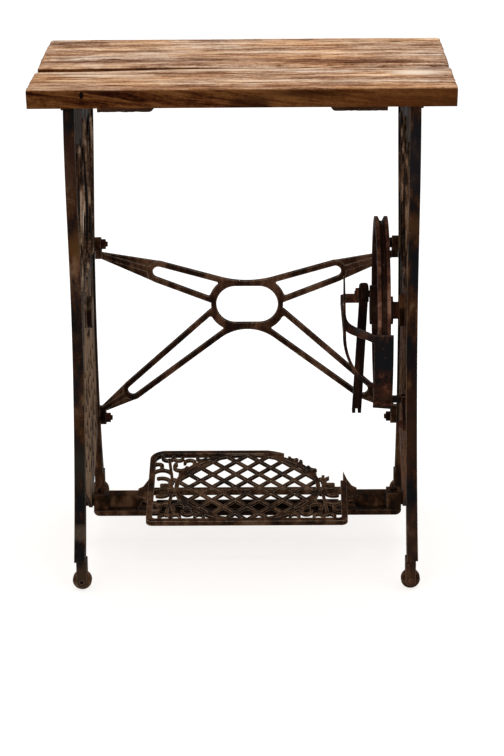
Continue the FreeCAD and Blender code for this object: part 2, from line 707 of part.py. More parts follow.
def cross_brace():
    half = brace_arm(UPPER_ARM_ROOT, UPPER_SLOT_END, UPPER_EAR, UPPER_TAIL_OFFSET)
    half += brace_arm(LOWER_ARM_ROOT, LOWER_SLOT_END, LOWER_EAR, LOWER_TAIL_OFFSET)
    middle = BRACE_FRONT_Y + BRACE_THICKNESS / 2
    outer = stadium_face("XZ", 0, BRACE_CENTRE_Z, OVAL_HALF_WIDTH, OVAL_HALF_HEIGHT)
    inner = stadium_face("XZ", 0, BRACE_CENTRE_Z, OVAL_HALF_WIDTH - BRACE_BAR, OVAL_HALF_HEIGHT - BRACE_BAR)
    centre = [
        slab(outer, BRACE_THICKNESS, "XZ", middle),
        saddle(UPPER_ARM_ROOT, UPPER_SLOT_END, 1, UPPER_SADDLE_Z),
        saddle(LOWER_ARM_ROOT, LOWER_SLOT_END, -1, LOWER_SADDLE_Z),
    ]
    brace = fused(centre + half + [mirrored_x(piece) for piece in half])
    slots = [brace_slot(UPPER_ARM_ROOT, UPPER_SLOT_END), brace_slot(LOWER_ARM_ROOT, LOWER_SLOT_END)]
    slots += [mirrored_x(slot) for slot in slots]
    slots.append(slab(inner, 2 * BRACE_THICKNESS, "XZ", middle))
    brace = brace.cut(Part.makeCompound(slots))
    holes = []
    for y, z in (UPPER_EAR, LOWER_EAR):
        start = Vector(-FRAME_SPACING, y, z)
        bore = rod(start, AXIS_X, 2 * FRAME_SPACING, BRACE_BOLT_DIAMETER + 2 * SEAT_CLEARANCE)
        holes.append(bore.cut(box(*brace_middle_box())))
    return brace.cut(Part.makeCompound(holes))


def brace_middle_box():
    """Space between the two pairs of ears, where no bolt hole runs."""
    reach = RAIL_INNER_X - 2 * EAR_LENGTH
    deep = TABLE_DEPTH
    return (-reach, reach, -deep, deep, 0, TABLE_HEIGHT)


def brace_bolt(y, z):
    """Bolt on the right-hand side, head outside the frame."""
    nut_x = RAIL_INNER_X - EAR_LENGTH - BRACE_NUT_HEIGHT
    start = nut_x - BOLT_END_STICKOUT
    shank = rod(Vector(start, y, z), AXIS_X, RAIL_OUTER_X - start, BRACE_BOLT_DIAMETER)
    head = hex_nut(RAIL_OUTER_X, BOLT_HEAD_HEIGHT, y, z, BRACE_NUT_FLATS)
    return shank.fuse(head)


def brace_nut(y, z):
    nut_x = RAIL_INNER_X - EAR_LENGTH - BRACE_NUT_HEIGHT
    nut = hex_nut(nut_x, BRACE_NUT_HEIGHT, y, z, BRACE_NUT_FLATS)
    start = Vector(nut_x - OVERCUT, y, z)
    hole = rod(start, AXIS_X, 2 * BRACE_NUT_HEIGHT, BRACE_BOLT_DIAMETER + 2 * SEAT_CLEARANCE)
    return nut.cut(hole)


def both_sides_of(make):
    solids = [make(y, z) for y, z in (UPPER_EAR, LOWER_EAR)]
    return Part.makeCompound(solids + [mirrored_x(solid) for solid in solids])


def wheel_rim():
    """Grooved rim, turned about the wheel axis."""
    r = WHEEL_RADIUS
    half = RIM_WIDTH / 2
    profile = [
        (-half, r - RIM_DEPTH), (half, r - RIM_DEPTH), (half, r), (GROOVE_MOUTH / 2, r),
        (GROOVE_FLOOR / 2, r - GROOVE_DEPTH), (-GROOVE_FLOOR / 2, r - GROOVE_DEPTH),
        (-GROOVE_MOUTH / 2, r), (-half, r),
    ]
    face = polygon_face("XZ", profile)
    return face.revolve(Vector(0, 0, 0), AXIS_X, 360)


def wheel_spoke():
    """One bowed spoke, an arc from hub to rim in the plane of the wheel."""
    start = HUB_DIAMETER / 2 - SPOKE_WIDTH / 4
    end = WHEEL_RADIUS - RIM_DEPTH / 2
    half = SPOKE_WIDTH / 2
    middle = (start + end) / 2

    def side(offset):
        return Part.Arc(
            on_plane("YZ", offset, start),
            on_plane("YZ", offset + SPOKE_BOW, middle),
            on_plane("YZ", offset, end),
        ).toShape()

    edges = [
        side(-half),
        Part.LineSegment(on_plane("YZ", -half, end), on_plane("YZ", half, end)).toShape(),
        side(half),
        Part.LineSegment(on_plane("YZ", half, start), on_plane("YZ", -half, start)).toShape(),
    ]
    return slab(Part.Face(Part.Wire(Part.__sortEdges__(edges))), SPOKE_THICKNESS, "YZ")


def counterweight():
    """Thickened part of the rim opposite the crank pin."""
    outer = WHEEL_RADIUS - RIM_DEPTH / 2
    middle_radius = outer - COUNTERWEIGHT_DEPTH / 2
    half = COUNTERWEIGHT_ANGLE / 2
    face = arc_bar("YZ", 0, 0, middle_radius, 270 - half, 270 + half, COUNTERWEIGHT_DEPTH)
    return slab(face, COUNTERWEIGHT_WIDTH, "YZ")


def drive_wheel():
    pieces = [wheel_rim(), counterweight()]
    for index in range(SPOKE_COUNT):
        spoke = wheel_spoke()
        spoke.rotate(Vector(0, 0, 0), AXIS_X, 360.0 * (index + 0.5) / SPOKE_COUNT)
        pieces.append(spoke)
    hub_left = HUB_LEFT_X - WHEEL_CENTRE_X
    pieces.append(rod(Vector(hub_left, 0, 0), AXIS_X, HUB_LENGTH, HUB_DIAMETER))
    crank = drop_face("YZ", (0, 0, HUB_DIAMETER / 2), (0, CRANK_RADIUS, CRANK_BOSS_RADIUS))
    crank_left = CRANK_FACE_X - WHEEL_CENTRE_X
    pieces.append(slab(crank, CRANK_BOSS_LENGTH, "YZ", crank_left + CRANK_BOSS_LENGTH / 2))
    wheel = fused(pieces)
    bore = rod(Vector(-WHEEL_RADIUS, 0, 0), AXIS_X, WHEEL_DIAMETER, AXLE_DIAMETER + 2 * RUNNING_CLEARANCE)
    recess = rod(Vector(crank_left, 0, 0), AXIS_X, AXLE_RECESS_DEPTH, 2 * AXLE_RECESS_RADIUS)
    pin_start = Vector(crank_left, 0, CRANK_RADIUS)
    pin_hole = rod(pin_start, AXIS_X, CRANK_BOSS_LENGTH, CRANK_PIN_DIAMETER + 2 * SEAT_CLEARANCE)
    wheel = wheel.cut(Part.makeCompound([bore, recess])).cut(pin_hole)
    return moved(wheel, WHEEL_CENTRE_X, 0, WHEEL_AXIS_Z)


def recess_floor_x():
    return CRANK_FACE_X + AXLE_RECESS_DEPTH


def axle_left_x():
    """Shoulder of the axle, just proud of the floor of the hub's recess."""
    return recess_floor_x() - HUB_SIDE_GAP


def collar_x():
    return HUB_RIGHT_X + HUB_SIDE_GAP


def axle_boss_face_x():
    return RAIL_INNER_X - AXLE_BOSS_STICKOUT


def wheel_axle():
    left = axle_left_x()
    nut_end = WEB_OUTER_X + AXLE_NUT_HEIGHT + AXLE_STICKOUT
    body = rod(Vector(left, 0, WHEEL_AXIS_Z), AXIS_X, nut_end - left, AXLE_DIAMETER)
    collar_length = axle_boss_face_x() - collar_x()
    collar = rod(Vector(collar_x(), 0, WHEEL_AXIS_Z), AXIS_X, collar_length, AXLE_COLLAR_DIAMETER)
    stud_length = WASHER_THICKNESS + AXLE_END_HEIGHT
    stud = rod(Vector(left - stud_length, 0, WHEEL_AXIS_Z), AXIS_X, stud_length, AXLE_END_DIAMETER)
    return fused([body, collar, stud])


def ring_x(x0, length, y, z, outer, inner):
    tube = rod(Vector(x0, y, z), AXIS_X, length, outer)
    return tube.cut(rod(Vector(x0 - OVERCUT, y, z), AXIS_X, length + 2 * OVERCUT, inner))


def axle_washer():
    x0 = axle_left_x() - WASHER_THICKNESS
    outer = 2 * (AXLE_RECESS_RADIUS - WASHER_EDGE_GAP)
    return ring_x(x0, WASHER_THICKNESS, 0, WHEEL_AXIS_Z, outer, AXLE_END_DIAMETER + 2 * SEAT_CLEARANCE)


def axle_end_nut():
    x0 = axle_left_x() - WASHER_THICKNESS - AXLE_END_HEIGHT
    nut = hex_nut(x0, AXLE_END_HEIGHT, 0, WHEEL_AXIS_Z, AXLE_END_FLATS)
    start = Vector(x0 - OVERCUT, 0, WHEEL_AXIS_Z)
    return nut.cut(rod(start, AXIS_X, 2 * AXLE_END_HEIGHT, AXLE_END_DIAMETER + 2 * SEAT_CLEARANCE))


def axle_frame_nut():
    nut = hex_nut(WEB_OUTER_X, AXLE_NUT_HEIGHT, 0, WHEEL_AXIS_Z, AXLE_NUT_FLATS)
    start = Vector(WEB_OUTER_X - OVERCUT, 0, WHEEL_AXIS_Z)
    return nut.cut(rod(start, AXIS_X, 2 * AXLE_NUT_HEIGHT, AXLE_DIAMETER + 2 * SEAT_CLEARANCE))


def crank_nut_x():
    return EYE_LEFT_X - HUB_SIDE_GAP - CRANK_NUT_HEIGHT


def crank_pin():
    left = crank_nut_x() - BOLT_END_STICKOUT / 2
    right = CRANK_FACE_X + CRANK_BOSS_LENGTH
    return rod(Vector(left, 0, CRANK_PIN_Z), AXIS_X, right - left, CRANK_PIN_DIAMETER)


def crank_nut():
    nut = hex_nut(crank_nut_x(), CRANK_NUT_HEIGHT, 0, CRANK_PIN_Z, CRANK_NUT_FLATS)
    start = Vector(crank_nut_x() - OVERCUT, 0, CRANK_PIN_Z)
    return nut.cut(rod(start, AXIS_X, 2 * CRANK_NUT_HEIGHT, CRANK_PIN_DIAMETER + 2 * SEAT_CLEARANCE))


def bush_outer_diameter():
    return CRANK_PIN_DIAMETER + 2 * RUNNING_CLEARANCE + 2 * BUSH_WALL


def pitman_bush():
    inner = CRANK_PIN_DIAMETER + 2 * RUNNING_CLEARANCE
    return ring_x(EYE_LEFT_X, EYE_LENGTH, 0, CRANK_PIN_Z, bush_outer_diameter(), inner)


def rod_section(x, z, width, depth):
    corners = [
        Vector(x - width / 2, -depth / 2, z), Vector(x + width / 2, -depth / 2, z),
        Vector(x + width / 2, depth / 2, z), Vector(x - width / 2, depth / 2, z),
    ]
    return Part.makePolygon(corners + corners[:1])


def pitman_rod():
    """Connecting rod with its bearing eye; the lower end hangs free."""
    eye_x = EYE_LEFT_X + EYE_LENGTH / 2
    head_z = CRANK_PIN_Z + EYE_HEAD_RISE
    side = drop_face("YZ", (0, CRANK_PIN_Z, EYE_OUTER_RADIUS), (0, head_z - EYE_HEAD_RADIUS, EYE_HEAD_RADIUS))
    half = EYE_LENGTH / 2
    front = drop_face("XZ", (eye_x, ROD_LOWER_END_Z, half), (eye_x, head_z - half, half))
    eye = slab(side, EYE_LENGTH, "YZ", eye_x).common(slab(front, 4 * EYE_OUTER_RADIUS, "XZ"))
    top = rod_section(eye_x, CRANK_PIN_Z, ROD_TOP_WIDTH, ROD_TOP_DEPTH)
    low = rod_section(eye_x - ROD_LEAN, ROD_LOWER_END_Z, ROD_LOWER_WIDTH, ROD_LOWER_DEPTH)
    bar = Part.makeLoft([top, low], True, True)
    body = fused([eye, bar])
    bore_start = Vector(EYE_LEFT_X - OVERCUT, 0, CRANK_PIN_Z)
    bore = rod(bore_start, AXIS_X, EYE_LENGTH + 2 * OVERCUT, bush_outer_diameter() + 2 * SEAT_CLEARANCE)
    notch_x = eye_x - ROD_LEAN
    notch = box(
        notch_x - ROD_NOTCH_WIDTH / 2, notch_x + ROD_NOTCH_WIDTH / 2, -ROD_LOWER_DEPTH, ROD_LOWER_DEPTH,
        ROD_LOWER_END_Z - OVERCUT, ROD_LOWER_END_Z + ROD_NOTCH_HEIGHT,
    )
    return body.cut(bore).cut(notch)


def guard_front_y(z):
    """Inner face of the guard in front of the wheel at a height."""
    return -math.sqrt(GUARD_RADIUS ** 2 - (z - WHEEL_AXIS_Z) ** 2)


def bezier(*places):
    """Curve in the front plane from its poles (x, z)."""
    curve = Part.BezierCurve()
    curve.setPoles([on_plane("XZ", *place) for place in places])
    return curve.toShape()


def front_line(start, end):
    return Part.LineSegment(on_plane("XZ", *start), on_plane("XZ", *end)).toShape()


def guard_outline():
    """Plate, strap, strip and lower sweep of the guard, seen from the front."""
    left = GUARD_PLATE_LEFT
    right = left + GUARD_PLATE_WIDTH
    strip_left = GUARD_STRIP_X - GUARD_STRIP_WIDTH / 2
    strip_right = GUARD_STRIP_X + GUARD_STRIP_WIDTH / 2
    top, low = GUARD_PLATE_TOP, GUARD_PLATE_BOTTOM
    band = GUARD_STRAP_HEIGHT
    strap_top = top + GUARD_STRAP_RISE
    mid_x, mid_z = (left + strip_right) / 2, (top + GUARD_SWEEP_Z) / 2
    foot, foot_low = GUARD_SWEEP_Z, GUARD_SWEEP_Z - GUARD_SWEEP_FOOT
    tip_left = (GUARD_STRIP_X - GUARD_TIP_WIDTH / 2, GUARD_STRIP_TOP)
    tip_right = (GUARD_STRIP_X + GUARD_TIP_WIDTH / 2, GUARD_STRIP_TOP)
    plate = polygon_face("XZ", [(left, low + GUARD_PLATE_SLANT), (right, low), (right, top), (left, top)])
    strap = Part.Face(Part.Wire([
        bezier((left, top), (mid_x, top + band), (strip_right, top + band), (strip_right, strap_top)),
        front_line((strip_right, strap_top), (strip_left, strap_top - band)),
        bezier((strip_left, strap_top - band), (strip_left, top), (mid_x, top), (left, top - band)),
        front_line((left, top - band), (left, top)),
    ]))
    strip = Part.Face(Part.Wire([
        front_line(tip_right, (strip_right, top)),
        bezier((strip_right, top), (strip_right, mid_z), (mid_x, foot + GUARD_SWEEP_FOOT), (left, foot)),
        front_line((left, foot), (left, foot_low)),
        bezier((left, foot_low), (mid_x, foot), (strip_left, mid_z), (strip_left, top)),
        front_line((strip_left, top), tip_left),
        front_line(tip_left, tip_right),
    ]))
    return [plate, strap, strip]


def dress_guard():
    """Openwork guard cut from a shell round the wheel, with a loop behind the rod."""
    outer_radius = GUARD_RADIUS + GUARD_THICKNESS
    start = Vector(0, 0, WHEEL_AXIS_Z)
    shell = rod(start, AXIS_X, FRAME_X, 2 * outer_radius)
    shell = shell.cut(rod(start, AXIS_X, FRAME_X, 2 * GUARD_RADIUS))
    front = []
    for face in guard_outline():
        block = face.extrude(AXIS_Y * -2 * WHEEL_DIAMETER)
        front.append(block.common(shell))
    z0, z1 = GUARD_LOOP_TOP - GUARD_LOOP_HEIGHT, GUARD_LOOP_TOP
    x0 = GUARD_STRIP_X - GUARD_LOOP_THICKNESS / 2
    x1 = GUARD_STRIP_X + GUARD_LOOP_THICKNESS / 2
    bend = GUARD_LOOP_BEND
    front_y = guard_front_y(z0) - GUARD_THICKNESS / 2
    side = box(x0, x1, front_y, GUARD_LOOP_BACK_Y - bend, z0, z1)
    corner_radius = bend - GUARD_LOOP_THICKNESS / 2
    corner = arc_bar(
        "XY", x0 + bend, GUARD_LOOP_BACK_Y - bend, corner_radius, 90, 180, GUARD_LOOP_THICKNESS,
    )
    corner = moved(corner.extrude(AXIS_Z * (z1 - z0)), z=z0)
    back = box(
        x0 + bend, GUARD_LOOP_END_X, GUARD_LOOP_BACK_Y - GUARD_LOOP_THICKNESS, GUARD_LOOP_BACK_Y, z0, z1,
    )
    guard = fused(front + [side, corner, back])
    return guard.cut(Part.makeCompound(guard_rivet_holes()))


def guard_arm_z():
    return GUARD_PLATE_BOTTOM + GUARD_ARM_HEIGHT + GUARD_ARM_LIFT


def guard_rivet_direction():
    """Outward from the wheel axis, square to the guard at the arm's height."""
    fall = (WHEEL_AXIS_Z - guard_arm_z()) / GUARD_RADIUS
    return Vector(0, -math.sqrt(1 - fall ** 2), -fall)


def guard_rivet_places():
    inset = GUARD_PLATE_WIDTH / 4
    return [GUARD_PLATE_LEFT + inset, GUARD_PLATE_LEFT + GUARD_PLATE_WIDTH - inset]


def on_wheel_radius(x, radius):
    return Vector(x, 0, WHEEL_AXIS_Z) + guard_rivet_direction() * radius


def guard_rivet_holes():
    diameter = GUARD_RIVET_DIAMETER + 2 * SEAT_CLEARANCE
    return [
        rod(on_wheel_radius(x, WHEEL_RADIUS), guard_rivet_direction(), 2 * GUARD_WHEEL_GAP, diameter)
        for x in guard_rivet_places()
    ]


def guard_rivet(x):
    hollow = GUARD_RADIUS - GUARD_ARM_THICKNESS
    inner = math.sqrt(hollow ** 2 - (GUARD_RIVET_HEAD / 2) ** 2) - SEAT_CLEARANCE
    outer = GUARD_RADIUS + GUARD_THICKNESS + SEAT_CLEARANCE
    out = guard_rivet_direction()
    shank = rod(on_wheel_radius(x, inner), out, outer - inner, GUARD_RIVET_DIAMETER)
    heads = [
        rod(on_wheel_radius(x, outer), out, GUARD_RIVET_HEIGHT, GUARD_RIVET_HEAD),
        rod(on_wheel_radius(x, inner), out * -1, GUARD_RIVET_HEIGHT, GUARD_RIVET_HEAD),
    ]
    return fused([shank] + heads)


def guard_rivets():
    return Part.makeCompound([guard_rivet(x) for x in guard_rivet_places()])


def guard_bolt_place():
    z = guard_arm_z() - GUARD_PAD_DROP
    return GUARD_BOLT_FLATS - rail_inner(z), z


def guard_arm():
    """Strap that carries the guard, turned down on to the frame and bolted there."""
    z = guard_arm_z()
    half = GUARD_ARM_HEIGHT / 2
    pad_y, pad_z = guard_bolt_place()
    pad_x0 = RAIL_INNER_X - GUARD_ARM_THICKNESS
    start = Vector(0, 0, WHEEL_AXIS_Z)
    outer = GUARD_RADIUS - SEAT_CLEARANCE
    inner = GUARD_RADIUS - GUARD_ARM_THICKNESS
    shell = rod(start, AXIS_X, FRAME_X, 2 * outer).cut(rod(start, AXIS_X, FRAME_X, 2 * inner))
    band = box(GUARD_PLATE_LEFT + GUARD_THICKNESS, RAIL_INNER_X, -WHEEL_DIAMETER, 0, z - half, z + half)
    across = band.common(shell)
    seat = on_wheel_radius(0, (inner + outer) / 2)
    pad = drop_face("YZ", (pad_y, pad_z, GUARD_BOLT_FLATS), (seat.y, seat.z, half))
    pad = moved(pad.extrude(AXIS_X * GUARD_ARM_THICKNESS), x=pad_x0)
    arm = fused([across, pad])
    bolt_start = Vector(pad_x0 - OVERCUT, pad_y, pad_z)
    hole = rod(bolt_start, AXIS_X, RAIL_WIDTH, GUARD_BOLT_DIAMETER + 2 * SEAT_CLEARANCE)
    return arm.cut(Part.makeCompound([hole] + guard_rivet_holes()))


def guard_bolt():
    """Bolt through the frame and the arm's pad, its head outside the frame."""
    y, z = guard_bolt_place()
    inner = RAIL_INNER_X - GUARD_ARM_THICKNESS - GUARD_NUT_HEIGHT - BOLT_END_STICKOUT
    shank = rod(Vector(inner, y, z), AXIS_X, WEB_OUTER_X - inner, GUARD_BOLT_DIAMETER)
    return shank.fuse(hex_nut(WEB_OUTER_X, GUARD_NUT_HEIGHT, y, z, GUARD_BOLT_FLATS))


def guard_nut():
    y, z = guard_bolt_place()
    x0 = RAIL_INNER_X - GUARD_ARM_THICKNESS - GUARD_NUT_HEIGHT
    nut = hex_nut(x0, GUARD_NUT_HEIGHT, y, z, GUARD_BOLT_FLATS)
    hole_start = Vector(x0 - OVERCUT, y, z)
    return nut.cut(rod(hole_start, AXIS_X, 2 * GUARD_NUT_HEIGHT, GUARD_BOLT_DIAMETER + 2 * SEAT_CLEARANCE))


def rounded_plate(half_x, half_y, front_radius, back_radius):
    """Rectangle about the origin with one radius at the front and one at the back corners."""
    corners = [
        (half_x, -half_y, front_radius, 270), (half_x, half_y, back_radius, 0),
        (-half_x, half_y, back_radius, 90), (-half_x, -half_y, front_radius, 180),
    ]
    arcs = []
    for x, y, radius, start in corners:
        cx = x - math.copysign(radius, x)
        cy = y - math.copysign(radius, y)
        points = []
        for angle in (start, start + 45, start + 90):
            a = math.radians(angle)
            points.append(Vector(cx + radius * math.cos(a), cy + radius * math.sin(a), 0))
        arcs.append(points)
    edges = []
    for index, points in enumerate(arcs):
        following = arcs[(index + 1) % len(arcs)]
        edges.append(Part.Arc(*points).toShape())
        edges.append(Part.LineSegment(points[-1], following[0]).toShape())
    return Part.Face(Part.Wire(edges))


def ellipse_face(half_x, half_y):
    """Oval about the origin, with its long axis along X."""
    edge = Part.Ellipse(Vector(0, 0, 0), half_x, half_y).toShape()
    return Part.Face(Part.Wire([edge]))


def pedal_oval_half_depth():
    return PEDAL_DEPTH / 2 - PEDAL_RIM_WIDTH / 2


def pedal_rim():
    half_x, half_y = PEDAL_WIDTH / 2, PEDAL_DEPTH / 2
    outer = rounded_plate(half_x, half_y, PEDAL_FRONT_RADIUS, PEDAL_BACK_RADIUS)
    inner = rounded_plate(
        half_x - PEDAL_RIM_WIDTH, half_y - PEDAL_RIM_WIDTH,
        PEDAL_FRONT_RADIUS / 2, PEDAL_BACK_RADIUS - PEDAL_RIM_WIDTH,
    )
    return slab(outer.cut(inner), PEDAL_RIM_THICKNESS, "XY")


def pedal_lattice():
    """Oval plate pierced by diamonds, with a plain band round its edge."""
    half_y = pedal_oval_half_depth()
    plate = slab(ellipse_face(PEDAL_OVAL_HALF_WIDTH, half_y), PEDAL_GRID_THICKNESS, "XY")
    field = ellipse_face(PEDAL_OVAL_HALF_WIDTH - PEDAL_OVAL_BAR, half_y - PEDAL_OVAL_BAR)
    reach_x = (PEDAL_PITCH_X - PEDAL_BAR * math.sqrt(2)) / 2
    reach_y = (PEDAL_PITCH_Y - PEDAL_BAR * math.sqrt(2)) / 2
    columns = int(PEDAL_OVAL_HALF_WIDTH / PEDAL_PITCH_X) + 1
    rows = int(2 * half_y / PEDAL_PITCH_Y) + 1
    openings = []
    for row in range(-rows, rows + 1):
        y = row * PEDAL_PITCH_Y / 2
        shift = (row % 2) * PEDAL_PITCH_X / 2
        for column in range(-columns, columns + 1):
            x = column * PEDAL_PITCH_X + shift
            corners = [(x - reach_x, y), (x, y - reach_y), (x + reach_x, y), (x, y + reach_y)]
            opening = polygon_face("XY", corners).common(field)
            if opening.Area > PEDAL_BAR ** 2:
                openings.append(slab(opening.Faces[0], 2 * PEDAL_GRID_THICKNESS, "XY"))
    return plate.cut(Part.makeCompound(openings))


def pedal_scrolls():
    """Scrolls that fill one corner between the rim and the oval, for +X and +Y."""
    corner_x = PEDAL_WIDTH / 2 - PEDAL_RIM_WIDTH / 2
    corner_y = PEDAL_DEPTH / 2 - PEDAL_RIM_WIDTH / 2
    stem = [(corner_x - x, corner_y - y) for x, y in SCROLL_STEM]
    half = PEDAL_BAR / 2
    faces = [drop_face("XY", (*stem[0], half), (*stem[1], half))]
    for in_x, in_y, radius, start, end, has_bud in SCROLLS:
        x, y = corner_x - in_x, corner_y - in_y
        faces.append(arc_bar("XY", x, y, radius, start, end, PEDAL_BAR))
        if has_bud:
            turn = math.radians(end)
            bud_x, bud_y = x + radius * math.cos(turn), y + radius * math.sin(turn)
            faces.append(disc_face("XY", bud_x, bud_y, SCROLL_BUD))
    return faces


def pedal_ornament():
    """Scrolls in all four corners, kept to the space between the rim and the oval."""
    faces = pedal_scrolls()
    quarter = fused([slab(face, PEDAL_GRID_THICKNESS, "XY") for face in faces])
    half_x = PEDAL_WIDTH / 2 - PEDAL_RIM_WIDTH / 2
    half_y = PEDAL_DEPTH / 2 - PEDAL_RIM_WIDTH / 2
    space = rounded_plate(half_x, half_y, PEDAL_FRONT_RADIUS, PEDAL_BACK_RADIUS)
    half_bar = PEDAL_OVAL_BAR / 2
    oval = ellipse_face(PEDAL_OVAL_HALF_WIDTH - half_bar, pedal_oval_half_depth() - half_bar)
    quarter = quarter.common(slab(space.cut(oval), PEDAL_GRID_THICKNESS, "XY"))
    half = [quarter, mirrored_x(quarter)]
    return half + [mirrored_y(piece) for piece in half]


def pedal_break():
    """The back right-hand corner of the rim is broken away outside the oval."""
    high = 4 * PEDAL_RIM_THICKNESS
    missing = box(PEDAL_BREAK_X, PEDAL_WIDTH, PEDAL_BREAK_Y, PEDAL_DEPTH, -high, high)
    missing = missing.fuse(box(PEDAL_BREAK_RIM_X, PEDAL_WIDTH, PEDAL_BREAK_RIM_Y, PEDAL_DEPTH, -high, high))
    kept = ellipse_face(
        PEDAL_OVAL_HALF_WIDTH + PEDAL_STUB_LENGTH, pedal_oval_half_depth() + PEDAL_STUB_LENGTH,
    )
    return missing.cut(slab(kept, 4 * high, "XY"))


def arm_section(x, half_y, z0, z1):
    corners = [Vector(x, -half_y, z0), Vector(x, half_y, z0), Vector(x, half_y, z1), Vector(x, -half_y, z1)]
    return Part.makePolygon(corners + corners[:1])


def pedal_arm():
    """Arm from the rim to the pivot on the right-hand side, flared at its root."""
    root = PEDAL_WIDTH / 2 - PEDAL_RIM_WIDTH / 2
    neck = PEDAL_WIDTH / 2 + ARM_FLARE_LENGTH
    end_half = ARM_DEPTH / 2
    root_half = ARM_FLARE_DEPTH / 2
    root_low = PEDAL_RISE - RIB_HEIGHT
    root_high = PEDAL_RISE + PEDAL_RIM_THICKNESS / 2
    sections = []
    for share in FLARE_STATIONS:
        fade = (1 - share) ** 2
        half_y = end_half + (root_half - end_half) * fade
        low = root_low + (ARM_BOTTOM - root_low) * share ** 3
        high = ARM_TOP + (root_high - ARM_TOP) * fade
        sections.append(arm_section(root + (neck - root) * share, half_y, low, high))
    flare = Part.makeLoft(sections, True, True)
    bar = box(neck, ARM_END_X, -end_half, end_half, ARM_BOTTOM, ARM_TOP)
    long_edges = [edge for edge in bar.Edges if abs(edge.tangentAt(edge.FirstParameter).x) > 0.5]
    return [flare, bar.makeFillet(ARM_EDGE_RADIUS, long_edges)]


def treadle_pedal():
    """Pedal about its own pivot axis, then tilted and lifted to its place."""
    plate = [pedal_rim(), pedal_lattice()] + pedal_ornament()
    pieces = fused(plate).cut(pedal_break()).Solids
    deck = moved(max(pieces, key=lambda solid: solid.Volume), z=PEDAL_RISE)
    rib_reach = PEDAL_WIDTH / 2 - PEDAL_RIM_WIDTH / 2
    half = RIB_THICKNESS / 2
    rib = box(-rib_reach, rib_reach, RIB_Y - half, RIB_Y + half, PEDAL_RISE - RIB_HEIGHT, PEDAL_RISE)
    arms = pedal_arm()
    arms += [mirrored_x(piece) for piece in arms]
    pedal = fused([deck, rib] + arms)
    depth = PIVOT_BOLT_REACH + PIVOT_END_GAP
    bore_start = Vector(ARM_END_X - depth, 0, 0)
    bore = rod(bore_start, AXIS_X, 2 * depth, PIVOT_BOLT_DIAMETER + 2 * RUNNING_CLEARANCE)
    pedal = pedal.cut(Part.makeCompound([bore, mirrored_x(bore)]))
    pedal.rotate(Vector(0, 0, 0), AXIS_X, PEDAL_TILT)
    return moved(pedal, z=PIVOT_Z)


def treadle_stretcher():
    """Channel bar between the frames, its ends turned up into walls that carry the pivots."""
    half = STRETCHER_DEPTH / 2
    floor_top = STRETCHER_BOTTOM_Z + STRETCHER_FLOOR
    lip_top = STRETCHER_BOTTOM_Z + STRETCHER_LIP_HEIGHT
    wall_top = PIVOT_Z + EAR_WALL_RISE
    wall_half = EAR_WALL_DEPTH / 2
    floor = box(-RAIL_INNER_X, RAIL_INNER_X, -half, half, STRETCHER_BOTTOM_Z, floor_top)
    lip = box(-RAIL_INNER_X, RAIL_INNER_X, half - STRETCHER_LIP_WIDTH, half, STRETCHER_BOTTOM_Z, lip_top)
    wall = box(EAR_WALL_X, RAIL_INNER_X, -wall_half, wall_half, STRETCHER_BOTTOM_Z, wall_top)
    web_reach = PEDAL_WIDTH / 2 - STRETCHER_WEB_SETBACK
    web_half = STRETCHER_WEB_THICKNESS / 2
    web = box(-web_reach, web_reach, -web_half, web_half, floor_top, floor_top + STRETCHER_WEB_HEIGHT)
    bar = fused([floor, lip, mirrored_y(lip), wall, mirrored_x(wall), web])
    bar = bar.common(slab(stretcher_outline(), STRETCHER_DEPTH, "XZ"))
    bolt_start = Vector(EAR_WALL_X - ARM_SIDE_GAP, 0, PIVOT_Z)
    bolt_hole = rod(bolt_start, AXIS_X, FRAME_X, PIVOT_BOLT_DIAMETER + 2 * SEAT_CLEARANCE)
    screw_start = Vector(wall_middle_x(), 0, PIVOT_Z)
    screw_bore = rod(screw_start, AXIS_Z, TABLE_HEIGHT, SET_SCREW_DIAMETER + 2 * SEAT_CLEARANCE)
    for cutter in (bolt_hole, screw_bore, mirrored_x(bolt_hole), mirrored_x(screw_bore)):
        bar = bar.cut(cutter)
    return bar


def stretcher_outline():
    """Front outline of the stretcher, with its two lower corners rounded."""
    x, low, high = RAIL_INNER_X, STRETCHER_BOTTOM_Z, PIVOT_Z + EAR_WALL_RISE
    r = STRETCHER_CORNER
    bend = r * (1 - math.sqrt(0.5))

    def point(u, v):
        return on_plane("XZ", u, v)

    edges = [
        Part.LineSegment(point(-x, high), point(-x, low + r)).toShape(),
        Part.Arc(point(-x, low + r), point(-x + bend, low + bend), point(-x + r, low)).toShape(),
        Part.LineSegment(point(-x + r, low), point(x - r, low)).toShape(),
        Part.Arc(point(x - r, low), point(x - bend, low + bend), point(x, low + r)).toShape(),
        Part.LineSegment(point(x, low + r), point(x, high)).toShape(),
        Part.LineSegment(point(x, high), point(-x, high)).toShape(),
    ]
    return Part.Face(Part.Wire(edges))


def wall_middle_x():
    return (EAR_WALL_X + RAIL_INNER_X) / 2


def stretcher_set_screw():
    x = wall_middle_x()
    tip = PIVOT_Z + PIVOT_BOLT_DIAMETER / 2 + SEAT_CLEARANCE
    seat = PIVOT_Z + EAR_WALL_RISE
    shank = rod(Vector(x, 0, tip), AXIS_Z, seat - tip, SET_SCREW_DIAMETER)
    return shank.fuse(rod(Vector(x, 0, seat), AXIS_Z, SET_SCREW_HEIGHT, SET_SCREW_HEAD))


def pivot_bolt():
    start = ARM_END_X - PIVOT_BOLT_REACH
    shank = rod(Vector(start, 0, PIVOT_Z), AXIS_X, RAIL_OUTER_X - start, PIVOT_BOLT_DIAMETER)
    return shank.fuse(hex_nut(RAIL_OUTER_X, PIVOT_HEAD_HEIGHT, 0, PIVOT_Z, PIVOT_HEAD_FLATS))


